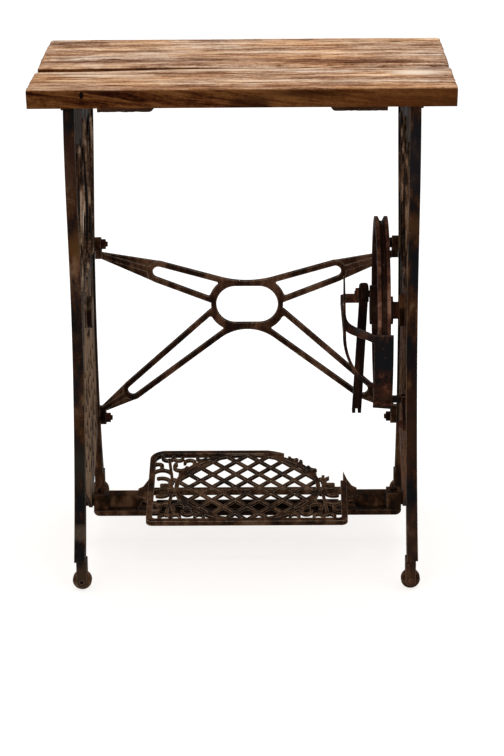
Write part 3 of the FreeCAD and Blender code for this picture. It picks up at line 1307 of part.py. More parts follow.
def caster_wheel():
    """Small roller about the Y axis, with a crowned tread and dished sides."""
    half = CASTER_WIDTH / 2
    bore = CASTER_PIN_DIAMETER / 2 + RUNNING_CLEARANCE
    r = CASTER_RADIUS
    shoulder = r - CASTER_EDGE
    face_points = [
        Vector(bore, -half, 0), Vector(shoulder, -half, 0), Vector(r, -half + CASTER_EDGE, 0),
        Vector(r, half - CASTER_EDGE, 0), Vector(shoulder, half, 0), Vector(bore, half, 0),
    ]
    face = Part.Face(Part.makePolygon(face_points + face_points[:1]))
    wheel = face.revolve(Vector(0, 0, 0), AXIS_Y, 360)
    return moved(wheel, z=CASTER_RADIUS)


def caster_pin():
    half = FOOT_DEPTH / 2
    return rod(Vector(0, -half, CASTER_RADIUS), AXIS_Y, FOOT_DEPTH, CASTER_PIN_DIAMETER)


def caster_places():
    return {
        "front_left": (-WEB_X, -FOOT_Y), "front_right": (WEB_X, -FOOT_Y),
        "back_left": (-WEB_X, FOOT_Y), "back_right": (WEB_X, FOOT_Y),
    }


def table_top():
    front_y, back_y = -TABLE_DEPTH / 2, TABLE_DEPTH / 2
    seam = front_y + FRONT_BOARD_DEPTH
    half = TABLE_WIDTH / 2
    return {
        "front_board": board(half + FRONT_BOARD_OVERHANG, front_y, seam, BACK_BOARD_THICKNESS - BOARD_STEP),
        "back_board": board(half, seam + BOARD_GAP, back_y, BACK_BOARD_THICKNESS),
        "left_batten": batten(-1),
        "right_batten": batten(1),
        "batten_screws": Part.makeCompound([
            wood_screw(x, y, UNDERSIDE_Z - BATTEN_THICKNESS, BATTEN_THICKNESS)
            for x, y in batten_screw_places()
        ]),
        "frame_screws": Part.makeCompound([
            wood_screw(x, y, FRAME_TOP_Z - TOP_FLANGE_THICKNESS, TOP_FLANGE_THICKNESS)
            for x, y in frame_screw_places()
        ]),
    }


def stand():
    return {
        "left_frame": moved(side_frame(1, False), x=-FRAME_X),
        "right_frame": moved(side_frame(-1, True), x=FRAME_X),
        "cross_brace": cross_brace(),
        "brace_bolts": both_sides_of(brace_bolt),
        "brace_nuts": both_sides_of(brace_nut),
    }


def drive():
    return {
        "drive_wheel": drive_wheel(),
        "wheel_axle": wheel_axle(),
        "axle_washer": axle_washer(),
        "axle_end_nut": axle_end_nut(),
        "axle_frame_nut": axle_frame_nut(),
        "crank_pin": crank_pin(),
        "crank_nut": crank_nut(),
        "pitman_rod": pitman_rod(),
        "pitman_bush": pitman_bush(),
        "dress_guard": dress_guard(),
        "guard_arm": guard_arm(),
        "guard_rivets": guard_rivets(),
        "guard_bolt": guard_bolt(),
        "guard_nut": guard_nut(),
    }


def treadle():
    right = {
        "pivot_set_screw": stretcher_set_screw(),
        "pivot_bolt": pivot_bolt(),
    }
    pieces = {"treadle_pedal": treadle_pedal(), "treadle_stretcher": treadle_stretcher()}
    for name, shape in right.items():
        pieces["right_" + name] = shape
        pieces["left_" + name] = mirrored_x(shape)
    return pieces


def casters():
    pieces = {}
    for name, (x, y) in caster_places().items():
        pieces[name + "_caster"] = moved(caster_wheel(), x, y)
        pieces[name + "_caster_pin"] = moved(caster_pin(), x, y)
    return pieces


os.makedirs("parts", exist_ok=True)
nodes = {}
for group in (table_top, stand, drive, treadle, casters):
    nodes.update(group())
for name, shape in nodes.items():
    shape.exportStep("parts/" + name + ".step")
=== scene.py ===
import json
import math

import bpy
from mathutils import Matrix, Vector, noise


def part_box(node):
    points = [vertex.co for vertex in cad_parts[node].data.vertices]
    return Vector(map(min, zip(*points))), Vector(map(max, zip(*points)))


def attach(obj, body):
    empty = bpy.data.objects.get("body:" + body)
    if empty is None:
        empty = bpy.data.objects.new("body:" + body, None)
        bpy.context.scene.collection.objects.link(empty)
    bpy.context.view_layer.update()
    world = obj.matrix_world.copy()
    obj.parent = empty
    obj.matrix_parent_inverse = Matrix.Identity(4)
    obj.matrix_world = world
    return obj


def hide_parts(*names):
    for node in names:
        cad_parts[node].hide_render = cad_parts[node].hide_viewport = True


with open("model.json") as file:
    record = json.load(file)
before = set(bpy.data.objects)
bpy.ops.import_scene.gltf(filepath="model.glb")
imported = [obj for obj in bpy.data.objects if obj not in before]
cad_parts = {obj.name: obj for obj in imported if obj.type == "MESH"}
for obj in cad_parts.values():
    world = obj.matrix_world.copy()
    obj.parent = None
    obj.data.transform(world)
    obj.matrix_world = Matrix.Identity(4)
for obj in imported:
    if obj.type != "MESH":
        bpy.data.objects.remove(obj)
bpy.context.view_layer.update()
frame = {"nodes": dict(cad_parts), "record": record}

MM = 0.001
WHITE = (1.0, 1.0, 1.0, 1.0)
BEVEL_SAMPLES = 6
DULL_SPECULAR = 0.04


class Graph:
    """Node graph of a material or a world."""

    def __init__(self, owner):
        owner.use_nodes = True
        self.nodes = owner.node_tree.nodes
        self.links = owner.node_tree.links

    def feed(self, socket, value):
        if isinstance(value, bpy.types.NodeSocket):
            self.links.new(value, socket)
        else:
            socket.default_value = value

    def node(self, kind, inputs=(), **settings):
        node = self.nodes.new("ShaderNode" + kind)
        for key, value in settings.items():
            setattr(node, key, value)
        for key, value in dict(inputs).items():
            self.feed(node.inputs[key], value)
        return node

    def calc(self, operation, a, b=0.0, c=0.0):
        return self.node("Math", {0: a, 1: b, 2: c}, operation=operation).outputs[0]

    def seen_directly(self):
        """One for what the camera sees, also in a mirror or through glass."""
        path = self.node("LightPath").outputs
        mirrored = self.calc("MAXIMUM", path["Is Glossy Ray"], path["Is Transmission Ray"])
        return self.calc("MAXIMUM", path["Is Camera Ray"], mirrored)

    def split_surface(self, unseen, seen, output):
        """One shader for what lights the part and another for what the camera sees."""
        surface = self.node("MixShader", {0: self.seen_directly(), 1: unseen, 2: seen})
        self.links.new(surface.outputs[0], self.nodes[output].inputs["Surface"])


class Surface(Graph):
    """Node graph of one procedural material, in the part's own coordinates."""

    def __init__(self, name):
        self.material = bpy.data.materials.new(name)
        super().__init__(self.material)
        coordinates = self.node("TexCoord").outputs
        self.place = coordinates["Object"]
        self.normal = coordinates["Normal"]

    def noise(self, scale, detail=4.0, roughness=0.55, distortion=0.0, place=None):
        """Noise whose three scales are per metre along X, Y and Z."""
        stretch = self.node("Mapping", {"Vector": place or self.place, "Scale": scale})
        return self.node("TexNoise", {
            "Vector": stretch.outputs[0], "Scale": 1.0, "Detail": detail,
            "Roughness": roughness, "Distortion": distortion}).outputs[0]

    def ramp(self, fac, stops):
        """Colours or greys, each given with its position."""
        ramp = self.node("ValToRGB", {"Fac": fac})
        elements = ramp.color_ramp.elements
        while len(elements) < len(stops):
            elements.new(0.5)
        for element, (position, colour) in zip(elements, stops):
            element.position = position
            grey = isinstance(colour, (int, float))
            element.color = (colour, colour, colour, 1) if grey else (*colour, 1)
        return ramp.outputs["Color"]

    def vector(self, operation, a, b=(0.0, 0.0, 0.0)):
        """A number for a length or a dot product, and a vector for any other operation."""
        result = "Value" if operation in ("LENGTH", "DOT_PRODUCT") else "Vector"
        return self.node("VectorMath", {0: a, 1: b}, operation=operation).outputs[result]

    def blend(self, *terms):
        """Weighted noises added up, each about its middle value of a half."""
        total = 0.5 - 0.5 * sum(weight for _, weight in terms)
        for source, weight in terms:
            total = self.calc("MULTIPLY_ADD", source, weight, total)
        return total

    def mix(self, fac, a, b, blend="MIX"):
        """Colour b on colour a. Inputs 6 and 7 and output 2 of the node are its colours."""
        first, second = ((*c, 1) if isinstance(c, tuple) else c for c in (a, b))
        node = self.node("Mix", {0: fac, 6: first, 7: second}, data_type="RGBA", blend_type=blend)
        return node.outputs[2]

    def stain(self, base, colour, mask, strength):
        return self.mix(self.calc("MULTIPLY", mask, strength), base, colour)

    def fade(self, value, start, end, shape="LINEAR"):
        """Nothing where a value is at the start, one where it is at the end."""
        return self.node("MapRange", {
            "Value": value, "From Min": start, "From Max": end, "To Min": 0.0, "To Max": 1.0},
            interpolation_type=shape).outputs[0]

    def spot(self, centre, radii, edge, rough=None):
        """One inside an ellipsoid, fading to nothing at its rim, which noise may fray."""
        local = self.node("Mapping", {
            "Vector": self.place, "Location": centre, "Scale": radii}, vector_type="TEXTURE")
        distance = self.vector("LENGTH", local.outputs[0])
        if rough is not None:
            distance = self.calc("ADD", distance, self.calc("SUBTRACT", rough, 0.5))
        return self.fade(distance, 1.0, 1.0 - edge, "SMOOTHSTEP")

    def facing(self):
        """How far the surface faces along X, Y and Z."""
        return self.node("SeparateXYZ", {0: self.normal}).outputs

    def rounded(self, radius):
        return self.node("Bevel", {"Radius": radius}, samples=BEVEL_SAMPLES).outputs[0]

    def edges(self, rounded, start, end):
        """One along convex and concave edges, where the rounded normal leaves the flat one."""
        flat = self.node("NewGeometry").outputs["Normal"]
        agree = self.vector("DOT_PRODUCT", flat, rounded)
        return self.fade(agree, 1.0 - start, 1.0 - end)

    def bump(self, height, strength, distance, normal=None):
        inputs = {"Height": height, "Strength": strength, "Distance": distance}
        if normal is not None:
            inputs["Normal"] = normal
        return self.node("Bump", inputs).outputs[0]

    def done(self, colour, roughness, normal, specular, metallic=0.0):
        sockets = self.nodes["Principled BSDF"].inputs
        self.feed(sockets["Base Color"], colour)
        self.feed(sockets["Roughness"], roughness)
        self.feed(sockets["Normal"], normal)
        self.feed(sockets["Specular IOR Level"], specular)
        self.feed(sockets["Metallic"], metallic)
        return self.material


# Iron. Noise scales are per metre along X, Y and Z.
RUST_ZONES = (26, 26, 9)
RUST_RUNS = (90, 90, 24)
RUST_GRIT = (380, 380, 380)
RUST_SPECKS = (150, 150, 150)
SPECK_COLOUR = (0.30, 0.22, 0.15)
IRON_RELIEF = 0.7 * MM
WEB_FADE = 0.3
WEB_PAINT_AND_SHADE = 0.75
CLEAN_FADE = 0.2


def bare_and_lit_web(g, rust):
    """One on the flat faces of a web where its paint has come off, and on its upward faces as a
    painted highlight.
    """
    facing = g.facing()
    flat = g.ramp(g.calc("ABSOLUTE", facing["X"]), [(0.8, 0.0), (0.95, 1.0)])
    # Upward faces lighter: a painted highlight from the light above.
    lit_upward = g.ramp(facing["Z"], [(0.3, 0.0), (0.5, 0.8)])
    rusted = g.ramp(rust, [(0.36, 0.12), (0.62, 1.0)])
    return g.calc("MULTIPLY", g.calc("MAXIMUM", flat, lit_upward), rusted)


def iron(name, tones, edge, edge_wear_and_highlight_share, bevel=1.6, zones=RUST_ZONES, marks=(), webs=()):
    """Old cast iron: black paint remains, brown rust in zones and runs, pale edges that are worn
    metal and a painted highlight.

    The colour called edge, worn metal and a painted highlight, covers up to
    edge_wear_and_highlight_share of the edges. The bevel is in millimetres.
    A mark has a centre, radii, a colour, a strength and a fade, and one whose fade is within
    CLEAN_FADE isn't frayed. A web has a centre, radii and its pale and dark colours: the pale is
    worn metal and a painted highlight on upward faces, the dark is paint and a painted shade on
    downward faces.
    """
    g = Surface(name)
    smooth = g.rounded(bevel * MM)
    broad = g.noise(zones, 3.0, 0.6)
    runs = g.noise(RUST_RUNS, 4.0, 0.65)
    grit = g.noise(RUST_GRIT, 3.0, 0.7)
    rust = g.blend((broad, 1.1), (runs, 0.55), (grit, 0.3))
    body = g.ramp(rust, tones)
    for centre, radii, worn_and_lit, paint_and_shade in webs:
        mask = g.spot(centre, radii, WEB_FADE, runs)
        body = g.stain(body, paint_and_shade, mask, WEB_PAINT_AND_SHADE)
        body = g.stain(body, worn_and_lit, mask, bare_and_lit_web(g, rust))
    for centre, radii, colour, strength, fade in marks:
        mask = g.spot(centre, radii, fade, runs if fade > CLEAN_FADE else None)
        body = g.stain(body, colour, mask, strength)
    # Pale edges: worn metal, and a painted highlight along every edge.
    broken = g.ramp(runs, [(0.38, 0.25 * edge_wear_and_highlight_share), (0.55, edge_wear_and_highlight_share)])
    body = g.stain(body, edge, g.edges(smooth, 0.02, 0.3), broken)
    specks = g.ramp(g.noise(RUST_SPECKS, 2.0), [(0.74, 0.0), (0.80, 0.5)])
    body = g.mix(specks, body, SPECK_COLOUR)
    roughness = g.ramp(rust, [(0.35, 0.6), (0.6, 0.95)])
    height = g.blend((grit, 0.4), (runs, 1.0))
    return g.done(body, roughness, g.bump(height, 0.6, IRON_RELIEF, smooth), DULL_SPECULAR)


# Boards. Noise scales are per metre along, across and through a board.
SWAY = (3.0, 6.0, 6.0)
STREAKS = (2.6, 46, 46)
LINES = (7.0, 115, 170)
FIBRES = (34, 300, 520)
PITS = (190, 110, 240)
FLECKS = (24, 110, 200)
BLOTCHES = (6.0, 16, 16)
WARMTH = (5.0, 12, 12)
CRACKS = (3.5, 40, 40)
SIDE_BANDS = (6.0, 90, 120)
SIDE_THREADS = (30, 300, 480)
SWAY_REACH = (0.0, 0.03, 0.03)
RING_STRETCH = (0.07, 1.0, 1.0)
RING_RATE = 850.0  # radians per metre from the pith
RING_WOBBLE = 9.0
COOL_TINT = (0.86, 0.93, 1.0)
WARM_TINT = (1.0, 0.88, 0.70)
CRACK_COLOUR = (0.09, 0.036, 0.016)
SIDE_MARK_FADE = 0.7
CLEAN_REACH = 0.01
WOOD_RELIEF = 1.0 * MM


def plank(name, tones, side_shade_tones, pith, shades=(), marks=(), side_marks=(), slope=0.0):
    """Old board with its grain along X round a pith line: weathered top, sides darker, partly as a
    painted shade.

    The slope is that of the sides' grain, in radians. A shade has a centre, radii, a factor
    and a fade. A mark has a colour and a strength in place of the factor, and one whose half
    length is within CLEAN_REACH isn't frayed. A side mark has no fade of its own.
    """
    g = Surface(name)
    swayed = g.vector("ADD", g.place, g.vector("MULTIPLY", g.noise(SWAY, 2.0), SWAY_REACH))
    streaks = g.noise(STREAKS, 5.0, 0.62, 0.25, swayed)
    lines = g.noise(LINES, 4.0, 0.7, 0.2, swayed)
    fibres = g.noise(FIBRES, 4.0, 0.7, 0.0, swayed)
    pits = g.noise(PITS, 3.0, 0.75)
    flecks = g.noise(FLECKS, 3.0, 0.7, 0.0, swayed)
    blotches = g.noise(BLOTCHES, 5.0, 0.65)
    trunk = g.vector("MULTIPLY", g.vector("SUBTRACT", swayed, pith), RING_STRETCH)
    wobble = g.calc("MULTIPLY", streaks, RING_WOBBLE)
    wave = g.calc("SINE", g.calc("MULTIPLY_ADD", g.vector("LENGTH", trunk), RING_RATE, wobble))
    rings = g.calc("MULTIPLY_ADD", wave, 0.5, 0.5)
    grain = g.blend((streaks, 0.5), (blotches, 0.38), (lines, 0.5), (fibres, 0.42), (pits, 0.26),
                    (flecks, 0.42), (rings, 0.06))

    tint = g.ramp(g.noise(WARMTH, 3.0, 0.6), [(0.36, COOL_TINT), (0.64, WARM_TINT)])
    top = g.mix(1.0, g.ramp(grain, tones), tint, "MULTIPLY")
    for centre, radii, factor, fade in shades:
        top = g.mix(g.spot(centre, radii, fade, blotches), top, factor, "MULTIPLY")
    for centre, radii, colour, strength, fade in marks:
        mask = g.spot(centre, radii, fade, blotches if radii[0] > CLEAN_REACH else None)
        top = g.stain(top, colour, mask, strength)
    ridge = g.calc("SUBTRACT", g.noise(CRACKS, 3.0, 0.6, 0.3, swayed), 0.5)
    thin = g.ramp(g.calc("ABSOLUTE", ridge), [(0.004, 1.0), (0.016, 0.0)])
    cracks = g.calc("MULTIPLY", thin, g.ramp(blotches, [(0.42, 0.75), (0.58, 0.1)]))
    top = g.mix(cracks, top, CRACK_COLOUR)

    sloped = g.node("Mapping", {"Vector": swayed, "Rotation": (0.0, slope, 0.0)}).outputs[0]
    bands = g.noise(SIDE_BANDS, 4.0, 0.65, 0.2, sloped)
    threads = g.noise(SIDE_THREADS, 4.0, 0.7, 0.0, sloped)
    side_grain = g.blend((streaks, 0.4), (bands, 0.8), (threads, 0.6), (blotches, 0.35),
                         (pits, 0.4), (flecks, 0.2))
    side = g.ramp(side_grain, side_shade_tones)
    for centre, radii, colour, strength in side_marks:
        side = g.stain(side, colour, g.spot(centre, radii, SIDE_MARK_FADE, blotches), strength)

    # Top or side tones by how far a face looks up; the darker sides are partly a painted shade.
    colour = g.mix(g.fade(g.facing()["Z"], 0.35, 0.8), side, top)
    height = g.blend((grain, 0.6), (fibres, 0.4), (cracks, -0.8))
    return g, colour, grain, height


def bare_wood(g, colour, grain, height):
    """Dull finish, rougher in the dark grain."""
    roughness = g.ramp(grain, [(0.3, 0.95), (0.7, 0.8)])
    return g.done(colour, roughness, g.bump(height, 0.6, WOOD_RELIEF), DULL_SPECULAR)


TOP_TONES = [
    (0.33, (0.085, 0.031, 0.013)), (0.42, (0.205, 0.096, 0.050)), (0.50, (0.388, 0.230, 0.143)),
    (0.58, (0.55, 0.370, 0.255)), (0.69, (0.71, 0.56, 0.44))]
# Board sides: darker tones, partly weathering and partly a painted shade for faces turned from the
# light above.
SHADED_SIDE_TONES = [
    (0.36, (0.017, 0.0032, 0.001)), (0.5, (0.068, 0.018, 0.004)), (0.66, (0.165, 0.062, 0.017))]
# Battens: dark wood, darkened further as a painted shade of their place under the top.
BATTEN_SHADED_TONES = [
    (0.3, (0.018, 0.007, 0.004)), (0.5, (0.05, 0.022, 0.012)), (0.7, (0.10, 0.05, 0.03))]
FRONT_TOP, BACK_TOP = 0.742, 0.745
FRONT_FACE = -0.205
FRONT_PITH, BACK_PITH, BATTEN_PITH = (0.06, -0.11, 0.69), (-0.09, 0.09, 0.69), (0.0, 0.0, 0.66)
FRONT_SLOPE = -0.14
MARK_DEPTH = 0.05
NAIL_PLACE, NAIL_RADII = (-0.2235, FRONT_FACE, 0.7335), (0.0036, 0.02, 0.0062)
# The nail hole's near-black colour is a painted shade for its depth.
NAIL_HOLE_SHADE, NAIL_FADE, NAIL_DEPTH = (0.004, 0.0015, 0.001), 0.35, 0.5


def on_top(z, *rows):
    """Marks on a top at height z, from rows of x, y, half length, half width and looks."""
    return [((x, y, z), (length, width, MARK_DEPTH), *looks)
            for x, y, length, width, *looks in rows]


def on_front(*rows):
    """Marks on the front face, from rows of x, z, half length, half height and looks."""
    return [((x, FRONT_FACE, z), (length, MARK_DEPTH, height), *looks)
            for x, z, length, height, *looks in rows]


def front_board_material():
    """Bleached patches, two knots and gullies on top, a reddish face with a nail hole painted dark
    as its shade.
    """
    # The first shade is a painted shade along the top's front edge, where the top rounds over.
    shades = on_top(FRONT_TOP, (0.0, -0.222, 0.9, 0.06, (0.68, 0.57, 0.48), 0.6))
    marks = on_top(
        FRONT_TOP,
        (0.247, -0.084, 0.06, 0.028, (0.72, 0.60, 0.48), 0.85, 0.75),
        (-0.19, -0.095, 0.08, 0.02, (0.72, 0.55, 0.40), 0.6, 0.8),
        (-0.03, -0.05, 0.1, 0.018, (0.70, 0.54, 0.41), 0.5, 0.8),
        (0.289, -0.108, 0.004, 0.005, (0.05, 0.02, 0.01), 0.9, 0.6),
        (0.223, -0.178, 0.007, 0.0035, (0.05, 0.018, 0.008), 0.9, 0.6),
        (0.215, -0.179, 0.09, 0.0016, (0.12, 0.05, 0.02), 0.8, 0.7),
        (-0.19, -0.175, 0.16, 0.0022, (0.13, 0.055, 0.025), 0.75, 0.7))
    face_marks = on_front(
        (0.31, 0.722, 0.34, 0.06, (0.145, 0.048, 0.011), 0.45),
        (0.015, 0.722, 0.045, 0.016, (0.018, 0.004, 0.001), 0.7),
        (0.09, 0.735, 0.09, 0.009, (0.026, 0.006, 0.001), 0.7))
    g, colour, grain, height = plank(
        "front_board_wood", TOP_TONES, SHADED_SIDE_TONES, FRONT_PITH, shades, marks, face_marks,
        FRONT_SLOPE)
    # The nail hole is only a shallow dip in the bump; its near black is a painted shade.
    nail = g.spot(NAIL_PLACE, NAIL_RADII, NAIL_FADE)
    colour = g.mix(nail, colour, NAIL_HOLE_SHADE)
    height = g.calc("SUBTRACT", height, g.calc("MULTIPLY", nail, NAIL_DEPTH))
    return bare_wood(g, colour, grain, height)


def back_board_material():
    """Dirt along the seam, a knot and a dark streak."""
    shades = on_top(
        BACK_TOP,
        (0.0, -0.006, 0.36, 0.034, (0.82, 0.78, 0.76), 0.6),
        (0.165, -0.004, 0.17, 0.028, (0.54, 0.44, 0.40), 0.7),
        (-0.2, 0.012, 0.2, 0.022, (0.58, 0.49, 0.45), 0.7))
    marks = on_top(
        BACK_TOP,
        (0.228, 0.169, 0.015, 0.0055, (0.045, 0.016, 0.007), 0.95, 0.6),
        (-0.035, 0.045, 0.05, 0.003, (0.16, 0.07, 0.03), 0.8, 0.7))
    return bare_wood(*plank("back_board_wood", TOP_TONES, SHADED_SIDE_TONES, BACK_PITH, shades, marks))


# Battens in dark tones that are partly a painted shade under the top.
def batten_material():
    return bare_wood(*plank("batten_wood", BATTEN_SHADED_TONES, BATTEN_SHADED_TONES, BATTEN_PITH))


ROD_GRAIN, ROD_BLOTCHES = (260, 260, 9), (30, 30, 20)
ROD_BEVEL, ROD_RELIEF = 1.2 * MM, 0.4 * MM
ROD_EDGE = (0.06, 0.03, 0.016)
BUSH_TARNISH = (180, 180, 180)
BUSH_BEVEL, BUSH_RELIEF = 0.4 * MM, 0.2 * MM


def rod_material():
    """Wood stained nearly black, its grain along the rod."""
    g = Surface("rod_wood")
    smooth = g.rounded(ROD_BEVEL)
    grain = g.noise(ROD_GRAIN, 5.0, 0.6)
    tone = g.blend((grain, 0.6), (g.noise(ROD_BLOTCHES, 3.0), 0.4))
    colour = g.ramp(tone, [
        (0.40, (0.002, 0.0008, 0.0005)), (0.52, (0.009, 0.003, 0.002)),
        (0.62, (0.035, 0.013, 0.007))])
    colour = g.stain(colour, ROD_EDGE, g.edges(smooth, 0.01, 0.16), 0.4)
    roughness = g.ramp(tone, [(0.35, 0.6), (0.7, 0.85)])
    return g.done(colour, roughness, g.bump(grain, 0.4, ROD_RELIEF, smooth), specular=0.05)


def brass_material():
    """Tarnished brass, brighter where it is rubbed."""
    g = Surface("bush_brass")
    smooth = g.rounded(BUSH_BEVEL)
    tarnish = g.noise(BUSH_TARNISH, 4.0, 0.6)
    colour = g.ramp(tarnish, [(0.35, (0.09, 0.055, 0.02)), (0.7, (0.34, 0.22, 0.08))])
    roughness = g.ramp(tarnish, [(0.35, 0.7), (0.7, 0.4)])
    relief = g.bump(tarnish, 0.2, BUSH_RELIEF, smooth)
    return g.done(colour, roughness, relief, specular=0.5, metallic=0.9)


FRAME_TONES = [
    (0.30, (0.002, 0.002, 0.0026)), (0.43, (0.005, 0.0042, 0.0040)),
    (0.50, (0.019, 0.008, 0.0045)), (0.60, (0.056, 0.022, 0.009)), (0.72, (0.15, 0.080, 0.042))]
DRIVE_TONES = [
    (0.30, (0.002, 0.001, 0.0008)), (0.43, (0.010, 0.004, 0.003)),
    (0.52, (0.044, 0.014, 0.008)), (0.66, (0.15, 0.056, 0.030))]
WHEEL_TONES = [
    (0.34, (0.020, 0.007, 0.004)), (0.45, (0.050, 0.017, 0.010)),
    (0.56, (0.115, 0.044, 0.026)), (0.68, (0.26, 0.13, 0.085))]
BRACE_TONES = [
    (0.30, (0.007, 0.0028, 0.0015)), (0.42, (0.026, 0.010, 0.005)),
    (0.52, (0.068, 0.028, 0.014)), (0.66, (0.17, 0.082, 0.046))]
TREADLE_TONES = [
    (0.30, (0.008, 0.0035, 0.0015)), (0.42, (0.026, 0.011, 0.005)),
    (0.52, (0.066, 0.029, 0.013)), (0.68, (0.15, 0.078, 0.042))]
# Caster tones: rusty iron, lightened as a painted light for the shade they sit in near the floor.
CASTER_LIGHTENED_TONES = [
    (0.34, (0.030, 0.013, 0.006)), (0.50, (0.095, 0.047, 0.024)), (0.66, (0.21, 0.13, 0.085))]
LEFT_RIB_TONES = [
    (0.36, (0.008, 0.0035, 0.002)), (0.46, (0.06, 0.028, 0.014)),
    (0.55, (0.21, 0.125, 0.075)), (0.66, (0.48, 0.33, 0.22))]
RIGHT_RIB_TONES = [
    (0.38, (0.005, 0.002, 0.0012)), (0.48, (0.035, 0.016, 0.008)),
    (0.58, (0.14, 0.075, 0.040)), (0.70, (0.36, 0.22, 0.14))]

# Zones of paint and rust up the frames' front rails: x, z, half height, colour, strength.
SOFT_FADE = 0.6
RAIL_Y = -0.2
RAIL_REACH = (0.05, 0.08)
RAIL_ZONES = (
    (-0.24, 0.630, 0.060, (0.030, 0.012, 0.008), 0.8),
    (-0.24, 0.505, 0.036, (0.095, 0.040, 0.012), 0.75),
    (-0.24, 0.435, 0.045, (0.008, 0.009, 0.012), 0.85),
    (-0.24, 0.365, 0.024, (0.085, 0.033, 0.016), 0.75),
    (-0.24, 0.285, 0.055, (0.009, 0.010, 0.012), 0.85),
    (-0.24, 0.180, 0.050, (0.022, 0.017, 0.011), 0.7),
    (-0.24, 0.084, 0.014, (0.110, 0.075, 0.050), 0.5),
    (-0.24, 0.015, 0.036, (0.058, 0.032, 0.018), 0.7),
    (0.24, 0.640, 0.080, (0.008, 0.009, 0.012), 0.85),
    (0.24, 0.535, 0.030, (0.075, 0.031, 0.010), 0.7),
    (0.24, 0.460, 0.060, (0.005, 0.006, 0.008), 0.7),
    (0.24, 0.240, 0.100, (0.050, 0.019, 0.008), 0.5),
    (0.24, 0.080, 0.050, (0.030, 0.016, 0.010), 0.6),
    (0.24, 0.015, 0.036, (0.058, 0.028, 0.015), 0.7),
)
FRAME_MARKS = [((x, RAIL_Y, z), (*RAIL_REACH, height), colour, strength, SOFT_FADE)
               for x, z, height, colour, strength in RAIL_ZONES]
# Webs: the pale colour is worn metal and a painted highlight on upward faces, the dark colour is
# paint and a painted shade on downward faces.
WEB_RADII = (0.05, 0.17, 0.22)
FRAME_WEBS = [
    ((-0.24, 0.0, 0.23), WEB_RADII, (0.42, 0.265, 0.16), (0.018, 0.007, 0.004)),
    ((0.24, 0.0, 0.23), WEB_RADII, (0.21, 0.080, 0.032), (0.016, 0.005, 0.002))]
# Paint on the dress guard with one grey rub, and rust below it.
GUARD_MARKS = [
    ((0.203, -0.16, 0.34), (0.06, 0.06, 0.052), (0.005, 0.006, 0.007), 0.9, SOFT_FADE),
    ((0.175, -0.16, 0.385), (0.022, 0.06, 0.02), (0.035, 0.031, 0.029), 0.7, SOFT_FADE),
    ((0.203, -0.16, 0.25), (0.06, 0.06, 0.045), (0.075, 0.032, 0.014), 0.8, SOFT_FADE)]
# Painted shade: the stretcher is darker under the pedal, and the wheel inside its rim's outer
# face.
STRETCHER_SHADE_MARKS = [((-0.005, 0.0, 0.12), (0.155, 0.5, 0.5), (0.006, 0.0025, 0.0015), 0.85, 0.15)]
WHEEL_SHADE_MARKS = [((0.2035, 0.0, 0.366), (1.0, 0.1417, 0.1417), (0.010, 0.004, 0.0025), 0.85, 0.025)]

# Each iron's third argument is its edge colour: worn metal and a painted highlight.
MATERIALS = {
    "frame_iron": iron("frame_iron", FRAME_TONES, (0.36, 0.245, 0.155), edge_wear_and_highlight_share=1.0,
                       marks=FRAME_MARKS, webs=FRAME_WEBS),
    "drive_iron": iron("drive_iron", DRIVE_TONES, (0.30, 0.14, 0.085), edge_wear_and_highlight_share=0.9),
    "treadle_iron": iron("treadle_iron", TREADLE_TONES, (0.62, 0.46, 0.34), edge_wear_and_highlight_share=1.0,
                         bevel=1.8, zones=(30, 30, 30)),
    "fastener_steel": iron("fastener_steel", DRIVE_TONES, (0.12, 0.07, 0.04), edge_wear_and_highlight_share=0.6,
                           bevel=0.8),
    "caster_iron": iron("caster_iron", CASTER_LIGHTENED_TONES, (0.36, 0.24, 0.16), edge_wear_and_highlight_share=0.9,
                        bevel=1.2, zones=(60, 60, 60)),
    "rod_wood": rod_material(),
    "bush_brass": brass_material(),
    "batten_wood": batten_material(),
}
NODE_MATERIALS = {
    "cross_brace": iron("brace_iron", BRACE_TONES, (0.58, 0.42, 0.30), edge_wear_and_highlight_share=1.0,
                        bevel=3.0, zones=(18, 18, 18)),
    "treadle_stretcher": iron("stretcher_iron", TREADLE_TONES, (0.42, 0.30, 0.21), edge_wear_and_highlight_share=0.5,
                              bevel=1.8, zones=(30, 30, 30), marks=STRETCHER_SHADE_MARKS),
    "drive_wheel": iron("wheel_iron", WHEEL_TONES, (0.36, 0.19, 0.125), edge_wear_and_highlight_share=0.9,
                        bevel=1.2, zones=(26, 26, 26), marks=WHEEL_SHADE_MARKS),
    "dress_guard": iron("guard_iron", DRIVE_TONES, (0.30, 0.24, 0.19), edge_wear_and_highlight_share=1.0,
                        bevel=1.4, zones=(26, 26, 20), marks=GUARD_MARKS),
}
RIB_ZONES = (50, 30, 16)
RIB_IRON = {
    "left": iron("left_rib_iron", LEFT_RIB_TONES, (0.45, 0.31, 0.20), edge_wear_and_highlight_share=1.0,
                 bevel=1.0, zones=RIB_ZONES),
    "right": iron("right_rib_iron", RIGHT_RIB_TONES, (0.36, 0.23, 0.14), edge_wear_and_highlight_share=1.0,
                  bevel=1.0, zones=RIB_ZONES),
}

# The boards' nodes keep their own material, because worn boards replace them.
slot_of = {part["node"]: part["material_slot"] for part in frame["record"]["subparts"]}
for node, shown in frame["nodes"].items():
    material = NODE_MATERIALS.get(node) or MATERIALS.get(slot_of[node])
    if material is not None:
        shown.data.materials.clear()
        shown.data.materials.append(material)


def rough(x, y, z):
    """Smooth noise about zero. A factor of 30 on metres gives about 30 swings a metre."""
    return noise.noise(Vector((x, y, z)))


def step(value, low, high):
    """Smooth step from nothing at low to one at high."""
    share = min(max((value - low) / (high - low), 0.0), 1.0)
    return share * share * (3 - 2 * share)


